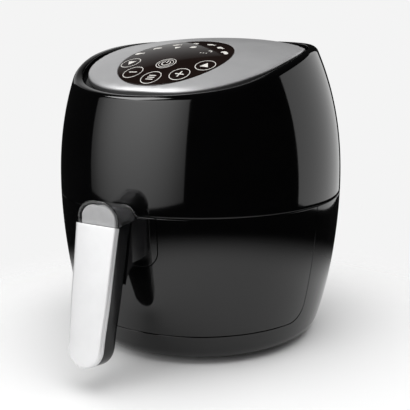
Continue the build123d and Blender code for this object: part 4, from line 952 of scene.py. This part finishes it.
def build_top():
    # recessed glossy cover inside the rim
    lp = []
    for k in range(240):
        a = 2 * math.pi * k / 240
        r = 110.0
        for _ in range(40):
            z = dome(r * math.cos(a), r * math.sin(a), PLATE_T + 0.05)
            r = rad(z) - 8.15
        lp.append((r * math.cos(a), r * math.sin(a)))
    hole = circle(0, LENS_Y, 47.5, 72)

    def lowered(x, y, d):
        return (x, y, dome(x, y, PLATE_T + 0.05) - d)
    o = panel("top_cover_skin", lowered, [lp, hole], 0.3, 2.7, 5.0, MATS["ledge_black"], "housing", steps=2)
    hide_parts("top_cover")
    # silver plate
    loop = plate_loop()
    for tip in ((93.5, 40.0), (-93.5, 40.0)):
        idx = min(range(len(loop)), key=lambda i: math.hypot(loop[i][0] - tip[0], loop[i][1] - tip[1]))
        loop = round_corner(loop, idx, 1.6)
    loop = resample(loop, 2.0)
    hole = circle(0, LENS_Y, LENS_R, 120)
    near = edge_distance(loop)

    def on_plate(x, y, d):
        # the top rolls over softly in its last few millimetres
        q = min(near(x, y) / 5.5, 1.0)
        return (x, y, dome(x, y, 0.0) - d - 2.1 * (1 - q) ** 2 * max(0.0, 1 - d / (PLATE_T - 0.1)))
    o = panel("top_trim_plate_skin", on_plate, [loop, hole], 1.0, PLATE_T - 0.1, 4.0, MATS["plate_silver"], "housing", steps=5)
    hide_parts("top_trim_plate")
    # glossy touch lens
    o = panel("touch_lens_skin", on_dome, [circle(0, LENS_Y, LENS_R - 0.15, 120)], 0.35, 2.0, 4.0, MATS["lens_dark"], "housing")
    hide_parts("touch_lens")


# printed marks: thin raised shapes that follow the lens
def mark(loops, parts):
    parts.append(loops)


def ring(cx, cy, r, w, n=56):
    return [circle(cx, cy, r + w / 2, n), circle(cx, cy, r - w / 2, n)[::-1]]


def bar(cx, cy, l, w, ang=0.0):
    c, s = math.cos(math.radians(ang)), math.sin(math.radians(ang))
    return [[(cx + x * c - y * s, cy + x * s + y * c) for x, y in ((-l / 2, -w / 2), (l / 2, -w / 2), (l / 2, w / 2), (-l / 2, w / 2))]]


def arc_band(cx, cy, r, w, a0, a1, n=28):
    return [arc(cx, cy, r + w / 2, a0, a1, n) + arc(cx, cy, r - w / 2, a1, a0, n)]


def blob(cx, cy, pts, k=1.0, ang=0.0):
    c, s = math.cos(math.radians(ang)), math.sin(math.radians(ang))
    q = catmull([(x * k, y * k) for x, y in pts], 5, closed=True)
    return [[(cx + x * c - y * s, cy + x * s + y * c) for x, y in q]]


def build_marks():
    parts = []
    RR, W = 9.2, 0.62
    for cx, cy in ((-40.2, -61.3), (40.2, -61.3), (-24.8, -80.3), (24.8, -80.3), (0.0, -88.4), (0.0, -63.0)):
        mark(ring(cx, cy, RR, W), parts)
    # down, up, minus, plus, menu, power
    mark([[(-40.2 - 4.2, -61.3 + 3.0), (-40.2, -61.3 - 4.4), (-40.2 + 4.2, -61.3 + 3.0)]], parts)
    mark([[(40.2 - 4.2, -61.3 - 3.0), (40.2 + 4.2, -61.3 - 3.0), (40.2, -61.3 + 4.4)]], parts)
    mark(bar(-24.8, -80.3, 8.4, 1.2), parts)
    mark([[(24.8 + x, -80.3 + y) for x, y in ((-0.6, -4.4), (0.6, -4.4), (0.6, -0.6), (4.4, -0.6), (4.4, 0.6), (0.6, 0.6), (0.6, 4.4),
                                              (-0.6, 4.4), (-0.6, 0.6), (-4.4, 0.6), (-4.4, -0.6), (-0.6, -0.6))]], parts)
    for dy in (-2.9, 0.0, 2.9):
        mark(bar(0.0, -88.4 + dy, 7.4, 1.05), parts)
    mark(ring(0.0, -63.0, 6.9, 0.5), parts)
    mark(arc_band(0.0, -63.0, 4.0, 0.9, 125, 415), parts)
    mark(bar(0.0, -60.2, 4.6, 0.95, 90), parts)
    # preset pictures along the upper edge: generic foods
    fish = [(-3.6, 0), (-1.6, 1.4), (1.2, 1.2), (2.6, 0.3), (3.8, 1.3), (3.6, -1.3), (2.6, -0.3), (1.2, -1.3), (-1.6, -1.4)]
    leg = [(-3.4, 1.2), (-1.5, 2.2), (0.8, 1.6), (2.2, 0.4), (3.7, 0.9), (4.0, -0.2), (3.1, -1.0), (1.7, -0.6), (-0.4, -1.6), (-2.8, -1.3)]
    steak = [(-3.2, 0.4), (-1.8, 2.0), (0.8, 1.8), (3.3, 0.9), (3.4, -1.0), (1.2, -1.4), (-0.6, -0.6), (-2.4, -1.6)]
    cake = [(-2.6, -1.8), (2.6, -1.8), (2.3, 0.2), (3.0, 0.9), (1.4, 2.3), (-1.4, 2.3), (-3.0, 0.9), (-2.3, 0.2)]
    pizza = [(-3.2, 1.8), (0, 2.4), (3.2, 1.8), (0.3, -2.8), (-0.3, -2.8)]
    prawn = [(-2.9, 0.6), (-1.8, 2.2), (0.6, 2.3), (2.6, 0.8), (2.4, -1.4), (1.2, -2.2), (1.4, -0.4), (0.2, 0.7), (-1.4, 0.4)]
    place = [(-46.0, -38.0, leg, 1.35, 10), (-35.5, -23.0, steak, 1.3, 25), (-20.0, -11.5, fish, 1.3, 15), (-2.0, -6.5, prawn, 1.2, 0),
             (-13.5, -22.0, pizza, 1.0, 0), (3.5, -20.0, cake, 1.1, 0), (16.5, -8.5, fish, 1.3, -8), (31.5, -17.5, leg, 1.2, -20),
             (42.5, -30.0, steak, 1.35, -30), (27.5, -30.0, prawn, 0.8, 0)]
    for cx, cy, shape, k, ang in place:
        mark(blob(cx, cy, shape, k, ang), parts)
    for k in range(3):
        mark(bar(20.5 + 3.0 * k, -35.5, 1.6, 0.7), parts)
    verts, faces, normals = [], [], []
    for loops in parts:
        loops = [lp if (area(lp) > 0) == (i == 0) else lp[::-1] for i, lp in enumerate(loops)]
        pts, tri, rows = fill([resample(lp, 1.2) for lp in loops], 2.5)
        b = len(verts)
        verts += [(x, y, dome(x, y) + 0.12) for x, y in pts]
        verts += [(x, y, dome(x, y) + 0.01) for x, y in pts]
        n = len(pts)
        faces += [tuple(b + v for v in t) for t in tri]
        faces += [tuple(b + n + v for v in reversed(t)) for t in tri]
        for row in rows:
            for i in range(len(row)):
                p, q = row[i], row[(i + 1) % len(row)]
                faces.append((b + q, b + p, b + n + p, b + n + q))
    o = new_object("touch_marks", verts, faces, MATS["marks_white"], "housing")
    sharpen(o, 40)


# ---------------------------------------------------------------------------
# handle
# ---------------------------------------------------------------------------
GD = (0.0, -math.sin(GRIP_TILT), -math.cos(GRIP_TILT))
GN = (0.0, -math.cos(GRIP_TILT), math.sin(GRIP_TILT))


def on_grip(a, b, d):
    return (a, -175.1 - b * GD[1] - d * GN[1], 141.8 - b * GD[2] - d * GN[2])


def hermite(p0, p1, t0, t1, n):
    out = []
    for k in range(n + 1):
        t = k / n
        h = (2 * t ** 3 - 3 * t * t + 1, t ** 3 - 2 * t * t + t, -2 * t ** 3 + 3 * t * t, t ** 3 - t * t)
        out.append(tuple(h[0] * a + h[1] * u + h[2] * b + h[3] * v for a, b, u, v in zip(p0, p1, t0, t1)))
    return out


def grip_loop(inset=0.0, top=0.0):
    w0, w1, w2 = 21.6 - inset, 19.65 - inset, 17.75 - inset
    low = 121.4 - 17.75
    right = hermite((w0, top), (w1, -62.0), (-0.045 * 62, -62 - top), (-0.022 * 62, -62 - top), 16)[:-1]
    right += hermite((w1, -62.0), (w2, -low), (-0.022 * (low - 62), -(low - 62)), (0, -(low - 62)), 12)
    bottom = arc(0, -low, w2, 0, -180, 40)[1:]
    left = [(-x, y) for x, y in reversed(right[:-1])]
    return resample(right + bottom + left, 2.0)


def top_line(y):
    return 140.45 + (y + 171.0) * 1.65 / 29.6


def build_handle():
    def crowned(a, b, d):
        # the face is gently crowned across its width
        return on_grip(a, b, d + 1.3 * (a / 21.6) ** 2 * max(0.0, 1 - d / 5.0))
    o = slab("handle_trim_skin", crowned, grip_loop(0.0, 1.5), 5.0, 2.9, 0.3, 3.5, MATS["trim_silver"], "drawer", steps=10,
             clip=[((0, -171.0, top_line(-171.0)), (0, math.sin(GUARD_TILT), math.cos(GUARD_TILT)))])
    me = o.data
    slope = 2 * 1.3 / 21.6 ** 2
    gn, gd = Vector(GN), Vector(GD)
    org = Vector(on_grip(0, 0, 0))
    flat = {}
    for v in me.vertices:
        p = Vector((v.co.x / MM, v.co.y / MM - AXIS_Y, v.co.z / MM)) - org
        if abs(-p.dot(gn) - 1.3 * (p.x / 21.6) ** 2) < 0.02:
            flat[v.index] = (gn + Vector((slope * p.x, 0, 0))).normalized()
    custom = []
    for corner, loop_ in zip(me.corner_normals, me.loops):
        custom.append(flat.get(loop_.vertex_index, Vector(corner.vector)))
    keep = {}
    for poly in me.polygons:
        for li in poly.loop_indices:
            vi = me.loops[li].vertex_index
            if vi in flat and Vector(poly.normal).dot(gn) < 0.2:
                keep[li] = Vector(me.corner_normals[li].vector)
    for li, v in keep.items():
        custom[li] = v
    me.normals_split_custom_set([tuple(v) for v in custom])
    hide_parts("handle_trim")
    tl = math.atan2(1.65, 29.6)

    def behind(a, b, d):
        return on_grip(a, b, d + 5.1)
    o = slab("handle_grip_skin", behind, grip_loop(0.35, 9.0), 20.0, 0.5, 7.0, 3.5, MATS["grip_black"], "drawer", steps=8,
             clip=[((0, -171.0, top_line(-171.0) - 0.02), (0, -math.sin(tl), math.cos(tl)))])
    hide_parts("handle_grip")


ARCH_H, ARCH_W = 21.0, 21.2


def arch_curve(inset):
    h, w = ARCH_H - inset, ARCH_W - inset
    return three_point_circle((w, 8.0), (w * 0.735, 0.62 * (h - 8.0) + 9.2), (0, h))


def arch_points(inset, low, n=40):
    """Closed arch outline: flat bottom, upright sides, crowned top."""
    h, w = ARCH_H - inset, ARCH_W - inset
    cx, cy, r = arch_curve(inset)
    a0, a1 = math.atan2(8.0 - cy, w - cx), math.atan2(h - cy, 0 - cx)
    half = [(cx + r * math.cos(a0 + (a1 - a0) * k / n), cy + r * math.sin(a0 + (a1 - a0) * k / n)) for k in range(n + 1)]
    right = [(w, low)] + half
    return right + [(-x, y) for x, y in reversed(right[:-1])]


def build_guard():
    base = arch_points(0.0, -12.0, 48)
    # arc length parameter from the crown, right side positive
    crown = base.index(max(base, key=lambda p: p[1]))
    line = base
    d = [0.0]
    for a, b in zip(line, line[1:]):
        d.append(d[-1] + math.hypot(b[0] - a[0], b[1] - a[1]))
    mid = d[crown]
    s_leg = mid - (8.0 + 12.0)          # arc length from crown to the end of the curve

    cx, cy, r = arch_curve(0.0)

    # right half curve as a smooth function of arc length
    def at(s, inset):
        sg = 1.0 if s >= 0 else -1.0
        q = abs(s)
        if q >= s_leg:
            px, py, nx, ny = ARCH_W, 8.0 - (q - s_leg), 1.0, 0.0
        else:
            t = mid - q
            i = int(np.searchsorted(d[:crown + 1], t))
            i = min(max(i, 1), crown)
            k = (t - d[i - 1]) / (d[i] - d[i - 1])
            px = line[i - 1][0] + (line[i][0] - line[i - 1][0]) * k
            py = line[i - 1][1] + (line[i][1] - line[i - 1][1]) * k
            nx, ny = px - cx, py - cy
            l = math.hypot(nx, ny)
            nx, ny = nx / l, ny / l
            # soften the crown and the shoulder so that both halves run together
            w = min(1.0, q / 3.0)
            nx, ny = nx * w, ny
            l = math.hypot(nx, ny)
            nx, ny = nx / l, ny / l
            w = min(1.0, (s_leg - q) / 3.0)
            nx, ny = 1 + (nx - 1) * w, ny * w
            l = math.hypot(nx, ny)
            nx, ny = nx / l, ny / l
        return sg * (px - inset * nx), py - inset * ny

    def on_arch(s, y, dd):
        x, h = at(s, dd)
        return (x, y, h + 140.0 + (-171.0 - y) * math.tan(GUARD_TILT))

    def s_max(y):
        low = top_line(y) + 0.25 - (140.0 + (-171.0 - y) * math.tan(GUARD_TILT))
        return s_leg + 8.0 - low
    y0, y1 = -171.0, -141.4
    ys = [y0 + (y1 - y0) * k / 20 for k in range(21)]
    right = [(s_max(y), y) for y in ys]
    left = [(-s_max(y), y) for y in reversed(ys)]
    front = [(-s_max(y0) + 2 * s_max(y0) * k / 70, y0) for k in range(1, 70)]
    back = [(s_max(y1) - 2 * s_max(y1) * k / 70, y1) for k in range(1, 70)]
    loop = resample(front + right + back + left, 1.5)
    o = panel("button_guard_skin", on_arch, [loop], 0.9, 2.4, 2.0, MATS["guard_smoke"], "guard", steps=5)
    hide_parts("button_guard")


def build_nose():
    def on_nose(x, h, d):
        y = -170.2 + d
        return (x, y, h + 140.0 + (-171.0 - y) * math.tan(GUARD_TILT))
    lp = resample(arch_points(3.6, -2.0, 30), 1.6)
    tl = math.atan2(1.65, 29.6)
    o = slab("button_housing_skin", on_nose, lp, 28.0, 1.3, 0.5, 2.5, MATS["button_grey"], "drawer", steps=6,
             clip=[((0, -171.0, top_line(-171.0) + 0.02), (0, math.sin(tl), -math.cos(tl)))])
    cut = upright_cutter(rounded_rect(0, -151.2, 20.6, 12.6, 3.3), 143.6, 175.0)
    boolean(o, cut)
    cut = upright_cutter(rounded_rect(0, -147.8, 9.4, 3.0, 0.4), 130.0, 144.5)
    boolean(o, cut)
    sharpen(o, 32)
    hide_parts("button_housing")


def rounded_rect(cx, cy, w, h, r):
    return (arc(cx + w / 2 - r, cy - h / 2 + r, r, -90, 0, 6) + arc(cx + w / 2 - r, cy + h / 2 - r, r, 0, 90, 6)
            + arc(cx - w / 2 + r, cy + h / 2 - r, r, 90, 180, 6) + arc(cx - w / 2 + r, cy - h / 2 + r, r, 180, 270, 6))


def upright_cutter(lp, z0, z1):
    n = len(lp)
    verts = [(x, y, z0) for x, y in lp] + [(x, y, z1) for x, y in lp]
    faces = [tuple(reversed(range(n))), tuple(range(n, 2 * n))] + [(i, (i + 1) % n, n + (i + 1) % n, n + i) for i in range(n)]
    me = bpy.data.meshes.new("cutter")
    me.from_pydata([(x * MM, (y + AXIS_Y) * MM, z * MM) for x, y, z in verts], [], faces)
    o = bpy.data.objects.new("cutter", me)
    scene.collection.objects.link(o)
    return o


def build_spring():
    """Coil under the release button; the real spring shortens as the button goes down."""
    z0, z1 = 143.65, 149.0
    h = z1 - z0 - 0.8
    turns = h / 1.5
    n = int(round(turns * 30))
    path = [(2.6 * math.cos(2 * math.pi * turns * k / n), -153.6 + 2.6 * math.sin(2 * math.pi * turns * k / n), z0 + 0.4 + h * k / n)
            for k in range(n + 1)]
    o = tube("button_spring_coil", [path], 0.38, MATS[SLOT_OF["button_spring"]], "drawer", sides=12)
    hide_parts("button_spring")
    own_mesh(o)


build_upper_shell()
build_drawer_front()
build_handle_panel()
build_lower_housing()
build_top()
build_marks()
build_handle()
build_guard()
build_nose()
build_spring()

# carried-over CAD pieces: smooth curved faces, crisp edges
for name, o in nodes.items():
    if o.hide_render:
        continue
    o.data.set_sharp_from_angle(angle=math.radians(32))

# ---------------------------------------------------------------------------
# floor, lights, camera
# ---------------------------------------------------------------------------
def build_floor():
    n = 96
    verts, faces = [(0, 0, -0.0002)], []
    rings = [0.15, 0.3, 0.6, 1.2, 2.4]
    for r in rings:
        verts += [(r * math.cos(2 * math.pi * i / n), r * math.sin(2 * math.pi * i / n), -0.0002) for i in range(n)]
    for i in range(n):
        faces.append((0, 1 + i, 1 + (i + 1) % n))
        for k in range(len(rings) - 1):
            a, b = 1 + k * n, 1 + (k + 1) * n
            faces.append((a + i, b + i, b + (i + 1) % n, a + (i + 1) % n))
    me = bpy.data.meshes.new("floor")
    me.from_pydata(verts, [], faces)
    o = bpy.data.objects.new("floor", me)
    scene.collection.objects.link(o)
    m = bpy.data.materials.new("floor_pale")
    m.use_nodes = True
    nt = m.node_tree
    b = nt.nodes["Principled BSDF"]
    b.inputs["Base Color"].default_value = (0.85, 0.85, 0.85, 1)
    b.inputs["Roughness"].default_value = 0.9
    b.inputs["Specular IOR Level"].default_value = 0.0
    tc = nt.nodes.new("ShaderNodeTexCoord")
    ln = nt.nodes.new("ShaderNodeVectorMath")
    ln.operation = "LENGTH"
    off = nt.nodes.new("ShaderNodeVectorMath")
    off.operation = "SUBTRACT"
    off.inputs[1].default_value = (0.06, -0.06, 0.0)
    nt.links.new(tc.outputs["Object"], off.inputs[0])
    nt.links.new(off.outputs["Vector"], ln.inputs[0])
    mr = nt.nodes.new("ShaderNodeMapRange")
    mr.interpolation_type = "SMOOTHERSTEP"
    mr.inputs["From Min"].default_value = 0.20
    mr.inputs["From Max"].default_value = 0.42
    mr.inputs["To Min"].default_value = 1.0
    mr.inputs["To Max"].default_value = 0.0
    nt.links.new(ln.outputs["Value"], mr.inputs["Value"])
    nt.links.new(mr.outputs["Result"], b.inputs["Alpha"])
    me.materials.append(m)
    return o


build_floor()


def card(name, center, target, w, h, radiance, color=(1, 1, 1), spread=180):
    l = bpy.data.lights.new(name, "AREA")
    l.shape = "RECTANGLE"
    l.size, l.size_y = w, h
    l.energy = radiance * w * h * math.pi
    l.color = color
    l.spread = math.radians(spread)
    o = bpy.data.objects.new(name, l)
    o.location = center
    o.rotation_euler = (Vector(target) - Vector(center)).to_track_quat("-Z", "Y").to_euler()
    o.visible_camera = False
    scene.collection.objects.link(o)
    return o


def polar(az, dist, z):
    """Point at an azimuth from the front (positive to the object's right-hand side in view)."""
    a = math.radians(az)
    return (dist * math.sin(a), -dist * math.cos(a) + AXIS_Y * MM, z)


def graded(o, stops, bottom, top):
    """Lets a card vary across its width by a list of stops, and from bottom to top."""
    l = o.data
    l.use_nodes = True
    nt = l.node_tree
    em = nt.nodes["Emission"]
    g = nt.nodes.new("ShaderNodeNewGeometry")
    sx = nt.nodes.new("ShaderNodeSeparateXYZ")
    nt.links.new(g.outputs["Parametric"], sx.inputs["Vector"])
    ramp = nt.nodes.new("ShaderNodeValToRGB")
    ramp.color_ramp.interpolation = "B_SPLINE"
    els = ramp.color_ramp.elements
    while len(els) < len(stops):
        els.new(0.5)
    for e, (p, v) in zip(els, stops):
        e.position = p
        e.color = (v, v, v, 1)
    nt.links.new(sx.outputs["X"], ramp.inputs["Fac"])
    mr = nt.nodes.new("ShaderNodeMapRange")
    mr.inputs["To Min"].default_value = bottom
    mr.inputs["To Max"].default_value = top
    nt.links.new(sx.outputs["Y"], mr.inputs["Value"])
    mu = nt.nodes.new("ShaderNodeMath")
    mu.operation = "MULTIPLY"
    nt.links.new(ramp.outputs["Color"], mu.inputs[0])
    nt.links.new(mr.outputs["Result"], mu.inputs[1])
    nt.links.new(mu.outputs["Value"], em.inputs["Strength"])


# front-left softbox: the broad grey sheen on the body
soft = card("softbox_front_left", polar(-21.5, 1.00, 0.44), (0, AXIS_Y * MM, 0.30), 1.74, 1.05, 2.9)
graded(soft, [(0.0, 0.12), (0.14, 0.34), (0.35, 0.86), (0.58, 1.0), (0.8, 0.66), (1.0, 0.22)], 0.48, 1.28)
# card to the right and behind: the band that brightens towards the right edge
card("card_right_rear", polar(143, 0.95, 0.38), (0, AXIS_Y * MM, 0.26), 1.40, 1.00, 1.12)
# overhead: lights the plate, trim and floor
over = card("overhead", (0.03, -0.02, 1.50), (0.02, 0.0, 0.12), 2.3, 2.1, 2.4)
over.visible_glossy = False
# small card high on the left: lights the rolled front edge of the plate
edge = card("edge_light", (-0.56, -0.42, 1.24), (0, -0.08, 0.26), 0.80, 0.60, 6.5)
edge.visible_diffuse = False
# behind and to the left, seen by the upper left of the lens and by the plate
lensc = card("behind_left", polar(230, 1.5, 0.90), (0, 0, 0.27), 0.95, 0.85, 0.55)
graded(lensc, [(0.0, 1.0), (1.0, 1.0)], 1.2, 0.1)

world = bpy.data.worlds.new("studio")
scene.world = world
world.use_nodes = True
wt = world.node_tree
wt.nodes.clear()
out = wt.nodes.new("ShaderNodeOutputWorld")
mix = wt.nodes.new("ShaderNodeMixShader")
lp_ = wt.nodes.new("ShaderNodeLightPath")
cam_bg = wt.nodes.new("ShaderNodeBackground")
cam_bg.inputs["Color"].default_value = (0.905, 0.905, 0.905, 1)
env_bg = wt.nodes.new("ShaderNodeBackground")
env_bg.inputs["Color"].default_value = (0.008, 0.008, 0.008, 1)
wt.links.new(lp_.outputs["Is Camera Ray"], mix.inputs["Fac"])
wt.links.new(env_bg.outputs["Background"], mix.inputs[1])
wt.links.new(cam_bg.outputs["Background"], mix.inputs[2])
wt.links.new(mix.outputs["Shader"], out.inputs["Surface"])

cam_data = bpy.data.cameras.new("camera")
cam = bpy.data.objects.new("camera", cam_data)
scene.collection.objects.link(cam)
scene.camera = cam
cam.location = (0.37675, -0.65255 + AXIS_Y * MM, 0.3064)
az, pitch = math.radians(30.0), math.radians(13.78)
look = Vector((-math.sin(az) * math.cos(pitch), math.cos(az) * math.cos(pitch), -math.sin(pitch)))
cam.rotation_euler = look.to_track_quat("-Z", "Y").to_euler()
cam_data.sensor_width = 36.0
cam_data.lens = 36.0 * 755.5 / 410.0
cam_data.shift_x = (205.0 - 200.7) / 410.0
cam_data.shift_y = 0.0
cam_data.clip_start = 0.01
scene.view_settings.view_transform = "Standard"
scene.view_settings.look = "None"
scene.view_settings.exposure = 0.0
scene.view_settings.gamma = 1.0

bpy.context.view_layer.update()
